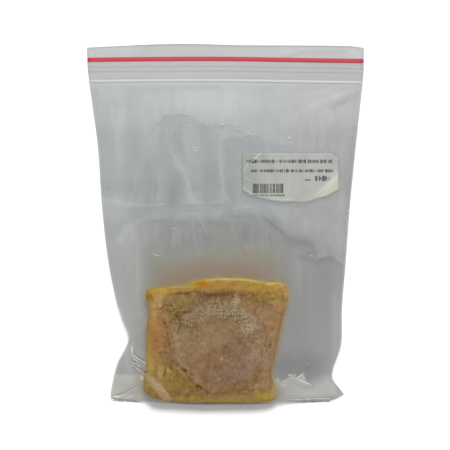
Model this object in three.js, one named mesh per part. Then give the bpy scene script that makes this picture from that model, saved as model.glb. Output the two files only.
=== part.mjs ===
// A frozen pink salmon portion in a clear press-seal bag, lying on its back.
// Millimetres. X runs across the bag, Y from its bottom fold up to its mouth and Z out of the shown face.
// The origin is under the middle of the bag's box, on the surface that the bag lies on.
import * as THREE from "three";

// The bag laid flat on its back.
const bagWidth = 180;
const bagLength = 234;
// The mouth's edge and the bottom fold, as [distance from the middle, height above the lowest point].
const mouthEdge = [[-90, 231.7], [-45, 233.8], [-17, 234], [8, 233.3], [48, 233.1], [80, 232.7], [90, 231.5]];
const footEdge = [
  [-75, 3.7], [-68, 2.8], [-58, 2], [-45, 1.2], [-20, 0.1], [5, 0], [33, 0.5], [50, 1.6], [68, 2.3],
  [72, 3.8], [77, 6.6],
];
const weldThickness = 0.8; // both films together along a side weld
const lipThickness = 1.5;
// The empty upper pouch: how far it stands up, over what length below the zip it rises, how round it is
// from side to side, and how it sinks towards the portion.
const pouch = { puff: 7, rise: 46, crown: 2.6, sunkShare: 0.75, sunkTo: 90, sinkLength: 40 };
const weldSlope = 20; // width over which the front film comes down from a lifted weld

// The zip that closes the mouth, as heights above the bottom fold.
const zipTop = 227.5;
const zipFoot = 208;
const zipBandThickness = 2.2;
const zipBandSteps = { foot: 4, top: 3, lip: 5 }; // widths over which the band's thickness changes
const redLine = { y: 223.6, width: 2.4, height: 1.1, tape: 0.3 };
const closureRibs = { y: [219.6, 216.6], width: 1.4, height: 1.0, tape: 0.5 };
const footRib = { y: 210.2, width: 1.6, height: 0.7, tape: 0.3 };
const ribEndGap = 0.5; // the ribs stop this far inside the bag's sides
const ribSteps = 12;
const zipBow = [[-90, 0], [-45, 0.6], [0, 0.7], [45, 0.2], [90, -0.6]]; // the zip isn't quite straight
const trimGap = 0.3; // clear space between the bag and what is fixed on it

// The frozen portion that fills the bottom of the bag. Its left and right sides are [height above the
// bottom fold, distance from the middle of the bag], and its top and foot the other way round.
const portionThickness = 25;
const portionDome = 1.8; // its face is lower by this much at its sides than in its middle
const portionCorner = 5;
const portionLeft = [
  [1.6, -48], [8, -51], [14, -52.2], [26, -49.8], [48, -49.8], [66, -49.4], [73, -50.4], [84, -50],
];
const portionRight = [
  [1.6, 33.4], [9, 33], [19, 30.6], [29, 31.2], [38, 33.6], [48, 35.6], [58, 37.5], [68, 38.9], [75, 40],
  [84, 40],
];
const portionTop = [[-52, 72.4], [-36, 76.2], [-20, 79.8], [3, 81.6], [24, 79.2], [34, 79.8], [41, 76.6]];
const portionFoot = [[-52, 3.4], [-37, 2.2], [-17, 1.6], [16, 1.6], [34, 3.2]];
const portionMiddle = { x: -5.5, y: 41.5, halfWidth: 45.5, halfLength: 40 };
const shoulder = { radius: 8, bend: 0.92 }; // the film's bend over the portion's upper edge
const tentSag = 1.35; // how hollow the film hangs between the portion and what it is drawn to
const icePatch = { x: -4.9, y: 39.7, radius: 34.5, rise: 1.5, step: 3.5 };

// The side welds, as [height above the bottom fold, distance from the middle]. Each is drawn in to a
// waist beside the portion and stands out below it as an ear.
const leftWeld = [
  [0, 74.2], [4.5, 74.6], [12, 73.7], [27, 69.9], [43, 62.6], [55, 66.6], [70, 71.6], [94, 76.4],
  [129, 80.3], [168, 83], [199, 87.2], [216, 89.4], [228, 90], [235, 90],
];
const rightWeld = [
  [0, 77], [6.4, 77], [11, 73.2], [17.5, 69.3], [23.4, 69.9], [39, 75], [62, 75.7], [94, 78.3],
  [129, 80.9], [168, 84.8], [199, 88.1], [216, 89.8], [228, 90], [235, 90],
];
const waistY = { left: 43, right: 30 };

// How far the weld stands off the surface: beside the waists, along the foot of the portion and at the
// corners, each with how far along the edge it reaches.
const seamLift = {
  side: { height: 7, rightShare: 0.5, reach: 26 },
  foot: { height: 9, halfWidth: 34, reach: 14 },
  corner: { height: 1.2, y: 5, reach: 12 },
};
const undersideRound = 7; // width of the band over which the back film bends up to the weld

// Folds of the front film. Each has a start, an end, a half width and a height.
const crossFold = { from: [-80, 129.2], to: [17, 131], spread: 2.6, height: 1.6 };
const lowerCrossFold = { from: [-64, 118.5], to: [16, 121], spread: 2.6, height: 1.0 };
const shoulderFolds = [
  { from: [25.5, 123], to: [42, 106.5], spread: 2.8, height: 1.8 },
  { from: [42, 106.5], to: [65, 100], spread: 2.8, height: 1.8 },
  { from: [65, 100], to: [77, 84], spread: 2.8, height: 1.4 },
];
const fans = [
  { x: -47, y: 20, reach: 34, inner: 5, ridges: 15, height: 1.5 },
  { x: 30, y: 22, reach: 48, inner: 7, ridges: 17, height: 1.6 },
];
const fanFade = { above: 6, length: 12, edge: 6 };
const softPleats = { spacing: 24, offset: 6, height: 0.8, from: 84, fade: 40 };
const foldFade = 10; // folds die out over this distance from the bag's edge

// The price label on the front: paper with clipped corners and a lower edge that the pouch pulls down
// in the middle. The edges are [distance from the middle of the bag, height above the bottom fold].
const label = { left: 11, right: 73.4, bottom: 131, top: 163.2, thickness: 0.35 };
const labelTopEdge = [[11, 162.6], [14, 163.2], [69.5, 162.9], [73.4, 159.8]];
const labelFootEdge = [[11, 138.6], [17.5, 134.6], [35.5, 131.2], [52, 131.2], [66, 135.6], [73.4, 139.6]];
const labelMargin = 4; // the label's bed goes this far past the label
const labelBed = 6; // width of the strip over which the pouch then takes up its own form
const labelCrown = { top: 7.2, fall: 7, slope: 0.012 }; // height in its middle, and how it falls away
const labelSteps = { across: 24, along: 6 };

// Steps of the surface grid.
const columns = 58;
const rows = 66;

const clamp01 = (t) => Math.min(1, Math.max(0, t));
const smooth = (t) => clamp01(t) ** 2 * (3 - 2 * clamp01(t));
const mix = (a, b, t) => a + (b - a) * t;
const bell = (t) => Math.exp(-t * t);

// Value of a smooth curve through [place, value] stations, at a place: cubic between each two.
function curveAt(stations, place) {
  let k = 0;
  while (k < stations.length - 2 && place > stations[k + 1][0]) k++;
  const [a, b] = [stations[k], stations[k + 1]];
  const before = stations[Math.max(k - 1, 0)];
  const after = stations[Math.min(k + 2, stations.length - 1)];
  const span = b[0] - a[0];
  const t = clamp01((place - a[0]) / span);
  const slopeA = ((b[1] - before[1]) / (b[0] - before[0])) * span;
  const slopeB = ((after[1] - a[1]) / (after[0] - a[0])) * span;
  const lean = t * (1 - t) * ((1 - t) * slopeA - t * slopeB);
  return mix(a[1], b[1], smooth(t)) + lean;
}

// Half the bag's width at height y, on the left (side -1) or on the right (side 1).
const halfWidth = (side, y) => curveAt(side < 0 ? leftWeld : rightWeld, y);

// Heights of the bag's two ends, at a share of its half width from the middle.
const mouthY = (s) => curveAt(mouthEdge, (s * bagWidth) / 2);
const footY = (s) => curveAt(footEdge, s * (s < 0 ? -footEdge[0][0] : footEdge.at(-1)[0]));

// Signed distance from the portion's outline, negative inside it.
function fromPortion(x, y) {
  const dx = Math.max(curveAt(portionLeft, y) - x, x - curveAt(portionRight, y)) + portionCorner;
  const dy = Math.max(curveAt(portionFoot, x) - y, y - curveAt(portionTop, x)) + portionCorner;
  return Math.hypot(Math.max(dx, 0), Math.max(dy, 0)) + Math.min(Math.max(dx, dy), 0) - portionCorner;
}

// How far the weld stands off the surface, at a point of the bag's edge.
function weldLift(x, y) {
  const { side, foot, corner } = seamLift;
  const waist = x < 0 ? waistY.left : waistY.right;
  const share = x < 0 ? 1 : side.rightShare;
  const fromFoot = bell(((x - portionMiddle.x) / foot.halfWidth) ** 3) * bell((y / foot.reach) ** 2);
  const fromSide = x === 0 ? 0 : share * bell(((y - waist) / side.reach) ** 2);
  const fromCorner = bell((y - corner.y) / corner.reach);
  return Math.max(foot.height * fromFoot, side.height * fromSide, corner.height * fromCorner);
}

// Height of a straight fold at a point of the front film.
function foldHeight({ from, to, spread, height }, x, y) {
  const run = [to[0] - from[0], to[1] - from[1]];
  const length2 = run[0] ** 2 + run[1] ** 2;
  const along = ((x - from[0]) * run[0] + (y - from[1]) * run[1]) / length2;
  const near = clamp01(along);
  const off = Math.hypot(x - from[0] - near * run[0], y - from[1] - near * run[1]);
  return height * bell(off / spread);
}

// Gathers that spread from a lower corner of the portion into the ear beside it.
function fanHeight({ x: cx, y: cy, reach, inner, ridges, height }, x, y) {
  const out = Math.hypot(x - cx, y - cy);
  const below = smooth((cy + fanFade.above - y) / fanFade.length);
  const outside = smooth(fromPortion(x, y) / inner);
  const angle = Math.atan2(y - cy, x - cx);
  return height * below * outside * clamp01(1 - out / reach) ** 0.5 * (1 + Math.cos(ridges * angle)) / 2;
}

// Distance from a point inside the label's rectangle's edge, positive outside.
function fromLabel(x, y) {
  return Math.max(label.left - x, x - label.right, label.bottom - y, y - label.top);
}

// Height of the front film over the surface that the bag lies on.
function filmHeight(x, y, edgeDistance, weldTop) {
  const outward = clamp01(Math.abs(x) / halfWidth(Math.sign(x) || 1, y));
  const rising = smooth((zipFoot - y) / pouch.rise);
  const sinking = mix(pouch.sunkShare, 1, smooth((y - pouch.sunkTo) / pouch.sinkLength));
  const air = pouch.puff * rising * sinking * (1 - outward ** pouch.crown);
  const { foot: footStep, top: topStep, lip: lipStep } = zipBandSteps;
  const intoBand = smooth((y - zipFoot + footStep * 0.75) / footStep);
  const outOfBand = smooth((y - zipTop + topStep * 0.5) / topStep);
  const band = intoBand * (1 - outOfBand) * zipBandThickness;
  const lip = mix(weldThickness, lipThickness, smooth(edgeDistance / lipStep));
  const closed = y > zipFoot - 12 ? Math.max(band, lip) : weldThickness;
  let height = weldTop * clamp01(1 - edgeDistance / weldSlope) + closed + air;
  if (y < zipFoot - footStep) {
    const pleat = 0.5 + 0.5 * Math.cos((2 * Math.PI * (x + softPleats.offset)) / softPleats.spacing);
    const pleated = rising * (1 - outward ** 4) * smooth((y - softPleats.from) / softPleats.fade);
    height += softPleats.height * pleat * pleated;
    for (const fold of [crossFold, lowerCrossFold, ...shoulderFolds]) {
      height += foldHeight(fold, x, y) * smooth(edgeDistance / foldFade);
    }
  }
  height = mix(labelHeight(x, y), height, smooth((fromLabel(x, y) - labelMargin) / labelBed));

  const off = fromPortion(x, y);
  const bend = shoulder.bend * clamp01((off + shoulder.radius) / shoulder.radius);
  const across = clamp01(Math.abs(x - portionMiddle.x) / portionMiddle.halfWidth);
  const along = clamp01(Math.abs(y - portionMiddle.y) / portionMiddle.halfLength);
  const face = portionThickness - portionDome * (across ** 2 + along ** 2) / 2;
  const rounded = face - shoulder.radius * (1 - Math.sqrt(1 - bend ** 2));
  const fromIce = Math.hypot(x - icePatch.x, y - icePatch.y) - icePatch.radius;
  const top = rounded + icePatch.rise * smooth(-fromIce / icePatch.step);
  if (off <= 0) return top;
  const reach = Math.min(edgeDistance, Math.max(0, crossFold.from[1] - crossFold.spread - y));
  const slope = Math.max(0, 1 - off / (off + reach)) ** tentSag;
  const tent = mix(height, Math.max(top, height), slope);
  const gathers = fans.reduce((sum, fan) => sum + fanHeight(fan, x, y), 0);
  return tent + gathers * smooth(edgeDistance / fanFade.edge);
}

// Height of the pouch under the label, a gently crowned bed.
function labelHeight(x, y) {
  const middle = (label.left + label.right) / 2;
  const t = (x - middle) / (label.right - label.left);
  return labelCrown.top - labelCrown.fall * t * t - labelCrown.slope * Math.max(0, y - label.bottom);
}

// Column and row positions, closer together where the form is tighter.
const columnAt = (i) => {
  const s = (2 * i) / columns - 1;
  return s + 0.1 * Math.sin(Math.PI * s);
};
const rowAt = (j) => {
  const t = j / rows;
  return 0.6 * t + 0.4 * t ** 2.2;
};

// The bag, one closed solid: a front grid, a wall as thick as the weld, a bent band and a flat back.
function bagGeometry() {
  const points = [];
  const faces = [];
  const at = (i, j) => j * (columns + 1) + i;
  const outline = [];
  for (let j = 0; j <= rows; j++) {
    for (let i = 0; i <= columns; i++) {
      const s = columnAt(i);
      const y = mix(footY(s), mouthY(s), rowAt(j));
      const half = halfWidth(s < 0 ? -1 : 1, y);
      const x = s * half;
      const edgeDistance = Math.min(half - Math.abs(x), y - footY(s));
      const lift = weldLift(x, y);
      points.push(new THREE.Vector3(x, y, filmHeight(x, y, edgeDistance, lift)));
    }
  }
  for (let j = 0; j < rows; j++) {
    for (let i = 0; i < columns; i++) {
      const [a, b, c, d] = [at(i, j), at(i + 1, j), at(i + 1, j + 1), at(i, j + 1)];
      const even = (i + j) % 2 === 0;
      faces.push(...(even ? [a, b, c, a, c, d] : [a, b, d, b, c, d]));
    }
  }
  for (let i = 0; i < columns; i++) outline.push(at(i, 0));
  for (let j = 0; j < rows; j++) outline.push(at(columns, j));
  for (let i = columns; i > 0; i--) outline.push(at(i, rows));
  for (let j = rows; j > 0; j--) outline.push(at(0, j));

  const count = outline.length;
  const weld = points.length;
  const inner = weld + count;
  const middle = new THREE.Vector2(0, bagLength / 2);
  for (const k of outline) {
    const p = points[k];
    const lift = p.y > zipFoot ? 0 : weldLift(p.x, p.y);
    p.z = lift + weldThickness;
    points.push(new THREE.Vector3(p.x, p.y, lift));
  }
  const flat = [];
  for (const k of outline) {
    const p = points[k];
    const inX = p.x * (1 - undersideRound / (bagWidth / 2));
    const inY = middle.y + (p.y - middle.y) * (1 - undersideRound / (bagLength / 2));
    points.push(new THREE.Vector3(inX, inY, 0));
    flat.push(new THREE.Vector2(inX, inY));
  }
  for (let k = 0; k < count; k++) {
    const next = (k + 1) % count;
    faces.push(outline[k], weld + k, weld + next, outline[k], weld + next, outline[next]);
    faces.push(weld + k, inner + k, inner + next, weld + k, inner + next, weld + next);
  }
  for (const [a, b, c] of THREE.ShapeUtils.triangulateShape(flat, [])) {
    faces.push(inner + c, inner + b, inner + a);
  }

  const geometry = new THREE.BufferGeometry().setFromPoints(points);
  geometry.setIndex(faces);
  geometry.computeVertexNormals();
  return geometry;
}

// A rib across the bag: a half-round or flat bar from weld to weld, bowed as the zip is.
function ribGeometry({ width, height, tape }, y) {
  const section = new THREE.Shape();
  section.moveTo(-width / 2, 0);
  section.lineTo(width / 2, 0);
  section.lineTo(width / 2, tape);
  section.quadraticCurveTo(width / 2, height, 0, height);
  section.quadraticCurveTo(-width / 2, height, -width / 2, tape);
  const length = 2 * (halfWidth(1, y) - ribEndGap);
  const rib = new THREE.ExtrudeGeometry(section, {
    depth: length, steps: ribSteps, bevelEnabled: false, curveSegments: 4,
  });
  rib.translate(0, 0, -length / 2);
  rib.rotateX(Math.PI / 2);
  rib.rotateZ(Math.PI / 2);
  const place = rib.attributes.position;
  for (let k = 0; k < place.count; k++) place.setY(k, place.getY(k) + curveAt(zipBow, place.getX(k)));
  return rib;
}

// Height of an edge made of straight runs, at a distance from the middle of the bag.
function edgeHeight(edge, x) {
  let k = 0;
  while (k < edge.length - 2 && x > edge[k + 1][0]) k++;
  const [a, b] = [edge[k], edge[k + 1]];
  return mix(a[1], b[1], clamp01((x - a[0]) / (b[0] - a[0])));
}

// The label: thin paper, bent to the crown of the pouch under it.
function labelGeometry() {
  const { left, right, thickness } = label;
  const { across, along } = labelSteps;
  const geometry = new THREE.BoxGeometry(right - left, 1, thickness, across, along, 1);
  const place = geometry.attributes.position;
  for (let k = 0; k < place.count; k++) {
    const x = (left + right) / 2 + place.getX(k);
    const y = mix(edgeHeight(labelFootEdge, x), edgeHeight(labelTopEdge, x), place.getY(k) + 0.5);
    place.setXYZ(k, x, y, labelHeight(x, y) + trimGap + thickness / 2 + place.getZ(k));
  }
  return geometry;
}

const film = new THREE.MeshStandardMaterial({ color: 0xb4b8b6, roughness: 0.25, metalness: 0 });
const redPlastic = new THREE.MeshStandardMaterial({ color: 0xcf3a4e, roughness: 0.35, metalness: 0 });
const clearRib = new THREE.MeshStandardMaterial({ color: 0xd0d2cf, roughness: 0.3, metalness: 0 });
const paper = new THREE.MeshStandardMaterial({ color: 0xc2c6bb, roughness: 0.7, metalness: 0 });

const pack = new THREE.Group();

function addPiece(name, geometry, material, y = 0, z = 0) {
  const mesh = new THREE.Mesh(geometry, material);
  mesh.name = name;
  mesh.position.set(0, y, z);
  pack.add(mesh);
}

addPiece("bag", bagGeometry(), film);
const ribBase = zipBandThickness + trimGap;
addPiece("zip_red_line", ribGeometry(redLine, redLine.y), redPlastic, redLine.y, ribBase);
closureRibs.y.forEach((y, k) => {
  addPiece(`zip_rib_${k + 1}`, ribGeometry(closureRibs, y), clearRib, y, ribBase);
});
addPiece("zip_foot_rib", ribGeometry(footRib, footRib.y), clearRib, footRib.y, ribBase);
addPiece("label", labelGeometry(), paper);

pack.position.set(0, -bagLength / 2, 0);

export default pack;
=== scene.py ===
# A frozen pink salmon portion in a clear press-seal bag that lies on its back.
# Lengths are in mm until a mesh is made: x runs across the bag from its middle, up is the height above its
# bottom fold and z stands out of the shown face. Colours are given as they show on a screen, 0 to 255.
import math

import bpy
import numpy as np
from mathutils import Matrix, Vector
from mathutils.bvhtree import BVHTree


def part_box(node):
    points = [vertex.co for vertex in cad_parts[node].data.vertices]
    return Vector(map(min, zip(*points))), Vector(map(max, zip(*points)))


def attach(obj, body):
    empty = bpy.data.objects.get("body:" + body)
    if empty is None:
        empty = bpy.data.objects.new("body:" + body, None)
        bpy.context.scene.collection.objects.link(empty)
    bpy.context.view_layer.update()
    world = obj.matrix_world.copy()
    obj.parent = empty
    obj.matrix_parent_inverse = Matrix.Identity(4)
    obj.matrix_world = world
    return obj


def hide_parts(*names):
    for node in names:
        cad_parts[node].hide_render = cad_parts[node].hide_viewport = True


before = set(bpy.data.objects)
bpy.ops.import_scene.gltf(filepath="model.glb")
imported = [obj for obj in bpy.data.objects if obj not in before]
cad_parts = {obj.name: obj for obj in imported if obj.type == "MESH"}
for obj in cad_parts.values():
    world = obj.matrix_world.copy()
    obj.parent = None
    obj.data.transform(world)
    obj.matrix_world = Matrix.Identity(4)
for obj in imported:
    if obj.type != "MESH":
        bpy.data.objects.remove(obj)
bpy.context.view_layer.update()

# The frozen salmon portion.
# A block of pink salmon cut square, about 90 x 80 mm and 25 mm thick. A roll of yellow fat runs along its
# top edge, the flesh is brownish pink, and a round patch of ice covers the middle where the film froze on.
MM = 0.001
FISH_LEFT = [
    (1.2, -38), (4, -45.5), (8, -51.3), (12, -52.9), (16.5, -52.7), (20, -52), (24, -50.6), (29, -50.2),
    (36, -50.6), (48, -50.6), (54, -50.5), (60, -48.8), (65, -50), (70, -51.6), (84, -51.4),
]
FISH_RIGHT = [
    (1.2, 28.8), (4.2, 33), (7.8, 33.4), (14.7, 30.9), (20, 29.7), (26, 29.8), (31, 31.9), (39.6, 33.2),
    (48, 35.2), (53, 36.4), (60, 37.8), (67, 39.9), (72, 41), (84, 41),
]
FISH_TOP = [
    (-52, 75), (-47.8, 76.1), (-42.6, 76.5), (-38, 77), (-33, 77.8), (-28, 78), (-24.5, 79), (-20.5, 80.4),
    (-11.4, 82.1), (-4, 82.8), (1.6, 82.6), (12, 82.4), (20, 81.2), (24, 80.7), (29, 80.1), (34, 80.2),
    (39, 79), (41, 77.2),
]
FISH_FOOT = [
    (-52, 6.2), (-48, 5), (-42, 3.2), (-36, 2.1), (-30, 1.2), (-22, 0.9), (-8, 0.9), (4, 1), (12, 1.2),
    (26, 1.6), (34, 3.6),
]
FISH_CORNER = 2.4
CORNER_PULL = 0.028
FISH_COLUMNS = 260
FISH_ROWS = 236
FISH_CLEARANCE = 0.9
FISH_LOWEST_LOOK = 1.6
FISH_SIDE_RINGS = 12
FISH_UNDERCUT = 7.0
FISH_SOLE = 0.6
SOLE_RINGS = (0.8, 0.55, 0.3, 0.12)
ROLL_FOOT = [
    (-52, 69.5), (-48, 70.3), (-38, 70.6), (-34, 71.8), (-28, 72.4), (-22, 72.6), (-16.6, 72.8), (-10, 72),
    (-3, 72.4), (4.2, 73), (10, 71.6), (16, 71.4), (25, 70.2), (30.7, 68.9), (38.9, 67.2), (42, 67),
]
ROLL_GROOVE = [
    (-52, 0), (-36, 0.1), (-31, 0.5), (-23, 0.5), (-19, 0.2), (-13, 0.5), (-3, 0.6), (3, 0.3), (8, 0),
    (26, 0.1), (34, 0.3), (41, 0.1),
]
ICE_CENTRE = (-5.2, 39)
ICE_RADIUS = 30.5
FROST_ARC = (25.0, 5.6)
FROST_PATCHES = [
    # Each patch of frost is its middle, its half width and height, and how thick it is.
    ((-0.5, 60), (8.5, 4.2), 1), ((-22, 54), (9, 7), 0.5), ((20, 28), (4, 8), 0.4),
]
SEAMS = [
    # Each seam is its course, its half width and its depth.
    ([(-31, 60.3), (-27.5, 60), (-24.3, 61), (-20.5, 64), (-16, 66.6), (-11, 68.6)], 0.9, 0.6),
    ([(-37, 54), (-33.5, 56), (-28.5, 58.2), (-25, 60.4)], 0.8, 0.5),
    ([(-42, 62.4), (-38.5, 65), (-33, 64.2)], 0.6, 0.6),
    ([(-47.5, 62.6), (-44.5, 61.8), (-40.5, 62.6)], 0.5, 0.5),
    ([(-45, 57), (-41, 55), (-38.5, 51)], 0.5, 0.15), ([(-30, 56), (-29, 51.5), (-31, 46.5)], 0.8, 0.5),
    ([(10.8, 68.6), (14.5, 65.4), (19.5, 60), (24.2, 53.4), (26, 46), (26.5, 36), (24, 25), (19.5, 16.5)],
     0.8, 0.3),
    ([(-36.8, 43), (-35.5, 34), (-31, 27), (-26, 21.5), (-18.5, 12.6), (-10, 8.5)], 1.1, 0.35),
    ([(-27.5, 23.4), (-23.4, 18.4), (-19.4, 12.4)], 1.5, 0.35),
    ([(-44, 33.5), (-40, 34.5), (-36, 33)], 0.6, 0.5),
    ([(-44, 37.8), (-40.5, 38), (-37.5, 37.4)], 0.5, 0.4),
    ([(25, 38.8), (29, 37.3), (32.5, 38.4)], 0.6, 0.6),
    ([(24, 60.8), (29, 62.2), (34, 59.4), (38, 58.6)], 0.7, 0.25),
    ([(14, 69), (22, 66.6), (30, 64.8)], 0.8, 0.3), ([(22, 47), (30, 50), (35, 49)], 0.6, 0.2),
    ([(-45.6, 25.8), (-43.4, 22), (-44.2, 18.8)], 0.6, 0.7),
    ([(-40.4, 26.6), (-38.6, 22.4), (-40, 19)], 0.6, 0.6),
    ([(-36, 25.6), (-34.4, 21), (-36.4, 17.6)], 0.5, 0.5), ([(8, 11), (16, 9.4), (24, 11.6)], 0.7, 0.4),
    ([(-18.6, 12.4), (-19, 10.6), (-17.6, 9.4), (-16, 10.2), (-15.8, 11.8)], 0.6, 0.9),
    ([(-36.9, 61), (-37.3, 63), (-35.6, 64.6), (-33.6, 63.6), (-33.2, 61.6), (-34.6, 60.2)], 0.4, 0.3),
]
PITS = [
    # Each pit is its place, its radius and how deep it is.
    (-38.8, 51, 0.7, 0.5), (-31.7, 58.3, 0.9, 0.4), (-25.8, 22.6, 1, 0.8), (-21.4, 19.9, 0.9, 0.8),
    (-30.6, 27.4, 0.7, 0.4), (-12.6, 9.2, 0.8, 0.5), (28.6, 39.4, 0.7, 0.5), (3.5, 57.6, 0.8, 0.6),
    (8, 53.8, 0.8, 0.6), (-5, 63.6, 0.7, 0.5), (30.4, 17, 0.7, 0.4), (22.8, 10.6, 0.7, 0.4),
]

bag_low, bag_high = (np.array(corner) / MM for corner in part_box("bag"))
FOLD_Y = bag_low[1]
BAG_LENGTH = bag_high[1] - bag_low[1]
RAY_HEIGHT = 100.0
LATTICE = 64
LATTICE_SHIFT = 1000


def read_solid(node):
    """A node's corners, with y as height above the bag's fold, its triangles and a tree to send rays at."""
    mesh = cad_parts[node].data
    points = np.empty(len(mesh.vertices) * 3)
    mesh.vertices.foreach_get("co", points)
    points = points.reshape(-1, 3) / MM - (0, FOLD_Y, 0)
    triangles = np.array([face.vertices[:] for face in mesh.polygons])
    tree = BVHTree.FromPolygons([Vector(point) for point in points], triangles.tolist())
    return points, triangles, tree


def surface_height(tree, x, up, from_above=True, inset=0.0, missed=0.4):
    """Height of a surface at each point, looked up a little nearer the bag's middle by the inset."""
    start, way = (RAY_HEIGHT, -1) if from_above else (-RAY_HEIGHT, 1)
    heights = np.full(x.size, missed)
    for k, (a, b) in enumerate(zip(x.ravel(), up.ravel())):
        inward = Vector((-a, BAG_LENGTH / 2 - b, 0)).normalized() * inset
        # A ray that slips between two triangles is sent again, a little aside.
        for aside in (0.0, 0.017, -0.013):
            source = Vector((a + inward.x + aside, b + inward.y + aside / 2, start))
            hit = tree.ray_cast(source, Vector((0, 0, way)))[0]
            if hit:
                heights[k] = hit.z
                break
    return heights.reshape(x.shape)


def smoothstep(low, high, value):
    """0 below low, 1 above high and a smooth rise between."""
    t = np.clip((value - low) / (high - low), 0.0, 1.0)
    return t * t * (3 - 2 * t)


def along(stations, place):
    """Value of a smooth curve through (place, value) stations."""
    places, values = (np.array(part, dtype=float) for part in zip(*stations))
    last = len(places) - 1
    before = np.maximum(np.arange(last + 1) - 1, 0)
    after = np.minimum(np.arange(last + 1) + 1, last)
    slopes = (values[after] - values[before]) / (places[after] - places[before])
    place = np.clip(place, places[0], places[-1])
    k = np.clip(np.searchsorted(places, place, side="right") - 1, 0, last - 1)
    span = places[k + 1] - places[k]
    t = (place - places[k]) / span
    lean = t * (1 - t) * span * ((1 - t) * slopes[k] - t * slopes[k + 1])
    return values[k] + (values[k + 1] - values[k]) * t * t * (3 - 2 * t) + lean


def rough(x, up, size, seed):
    """Smooth seeded noise from -1 to 1, with bumps about size across."""
    lattice = np.random.default_rng(seed).uniform(-1, 1, (LATTICE, LATTICE))
    a, b = x / size + LATTICE_SHIFT, up / size + LATTICE_SHIFT
    i, j = np.floor(a).astype(int), np.floor(b).astype(int)
    s, t = smoothstep(0, 1, a - i), smoothstep(0, 1, b - j)
    here, there = i % LATTICE, (i + 1) % LATTICE
    low = lattice[here, j % LATTICE] * (1 - s) + lattice[there, j % LATTICE] * s
    high = lattice[here, (j + 1) % LATTICE] * (1 - s) + lattice[there, (j + 1) % LATTICE] * s
    return low * (1 - t) + high * t


def cells(x, up, size, seed):
    """How far each point is from the walls between uneven cells about size across: 0 on a wall."""
    jitter = np.random.default_rng(seed).uniform(0.1, 0.9, (LATTICE, LATTICE, 2))
    a, b = x / size + LATTICE_SHIFT, up / size + LATTICE_SHIFT
    i, j = np.floor(a).astype(int), np.floor(b).astype(int)
    nearest = np.full(np.shape(a), 9.0)
    second = np.full(np.shape(a), 9.0)
    for di in (-1, 0, 1):
        for dj in (-1, 0, 1):
            spot = jitter[(i + di) % LATTICE, (j + dj) % LATTICE]
            out = np.hypot(i + di + spot[..., 0] - a, j + dj + spot[..., 1] - b)
            second = np.minimum(second, np.maximum(nearest, out))
            nearest = np.minimum(nearest, out)
    return second - nearest


def cracks(x, up, size, seed):
    """1 in thin winding cracks about size apart, 0 between them."""
    bent = rough(x + 0.5 * size * rough(x, up, size * 0.6, seed + 1), up, size, seed)
    return 1 - smoothstep(0.02, 0.2, np.abs(bent))


def bell(distance, width):
    """1 at no distance, falling smoothly to 0 at a few widths."""
    return np.exp(-((distance / width) ** 2))


def near_line(x, up, points, width):
    """1 on a line through the points, falling smoothly to 0 at a few widths from it."""
    best = np.full(np.shape(x), 1e9)
    for (ax, ay), (bx, by) in zip(points, points[1:]):
        run_x, run_y = bx - ax, by - ay
        part = np.clip(((x - ax) * run_x + (up - ay) * run_y) / (run_x**2 + run_y**2), 0, 1)
        best = np.minimum(best, np.hypot(x - ax - part * run_x, up - ay - part * run_y))
    return bell(best, width)


def oval(x, up, middle, reach, edge=2):
    """1 in the middle of an oval, falling to 0 outside it, and more sharply for a higher edge."""
    return np.exp(-(((x - middle[0]) / reach[0]) ** 2 + ((up - middle[1]) / reach[1]) ** 2) ** edge)


def from_fish(x, up):
    """Distance from the fish's outline, negative inside it."""
    dx = np.maximum(along(FISH_LEFT, up) - x, x - along(FISH_RIGHT, up)) + FISH_CORNER
    dy = np.maximum(along(FISH_FOOT, x) - up, up - along(FISH_TOP, x)) + FISH_CORNER
    return np.hypot(np.maximum(dx, 0), np.maximum(dy, 0)) + np.minimum(np.maximum(dx, dy), 0) - FISH_CORNER


def on_ice(x, up):
    """1 on the round patch of ice, with an uneven edge."""
    out = np.hypot((x - ICE_CENTRE[0]) * 0.98, (up - ICE_CENTRE[1]) * 1.05)
    uneven = 1.8 * rough(x, up, 9, 11) + 1.7 * rough(x, up, 3.4, 12) + 0.8 * rough(x, up, 1.4, 27)
    return 1 - smoothstep(ICE_RADIUS - 4.5, ICE_RADIUS + 1.2, out + uneven)


def frost_cover(x, up):
    """How thickly the frost lies: an arc by the ice's upper and right edge, and patches beside it."""
    out = np.hypot(x - ICE_CENTRE[0], up - ICE_CENTRE[1])
    angle = np.degrees(np.arctan2(up - ICE_CENTRE[1], x - ICE_CENTRE[0]))
    cover = np.exp(-np.abs((out - FROST_ARC[0]) / FROST_ARC[1]) ** 2.6)
    cover *= smoothstep(-30, 14, angle) * (1 - smoothstep(112, 138, angle))
    for middle, reach, thick in FROST_PATCHES:
        cover = np.maximum(cover, thick * oval(x, up, middle, reach, 1.4))
    horn = 0.9 * oval(x, up, (6.5, 66), (4.6, 4.2), 1.4)
    patchy = smoothstep(-0.9, 0.4, rough(x, up, 4.5, 13) + 0.5 * rough(x, up, 2, 14))
    return cover * patchy * on_ice(x, up) + horn * patchy * 0.6


def roll_share(x, up):
    """0 at the foot of the roll of fat, 1 at the fish's top edge."""
    foot = along(ROLL_FOOT, x) + 0.5 * rough(x, up * 0, 3.2, 17)
    return (up - foot) / (along(FISH_TOP, x) - foot)


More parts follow.
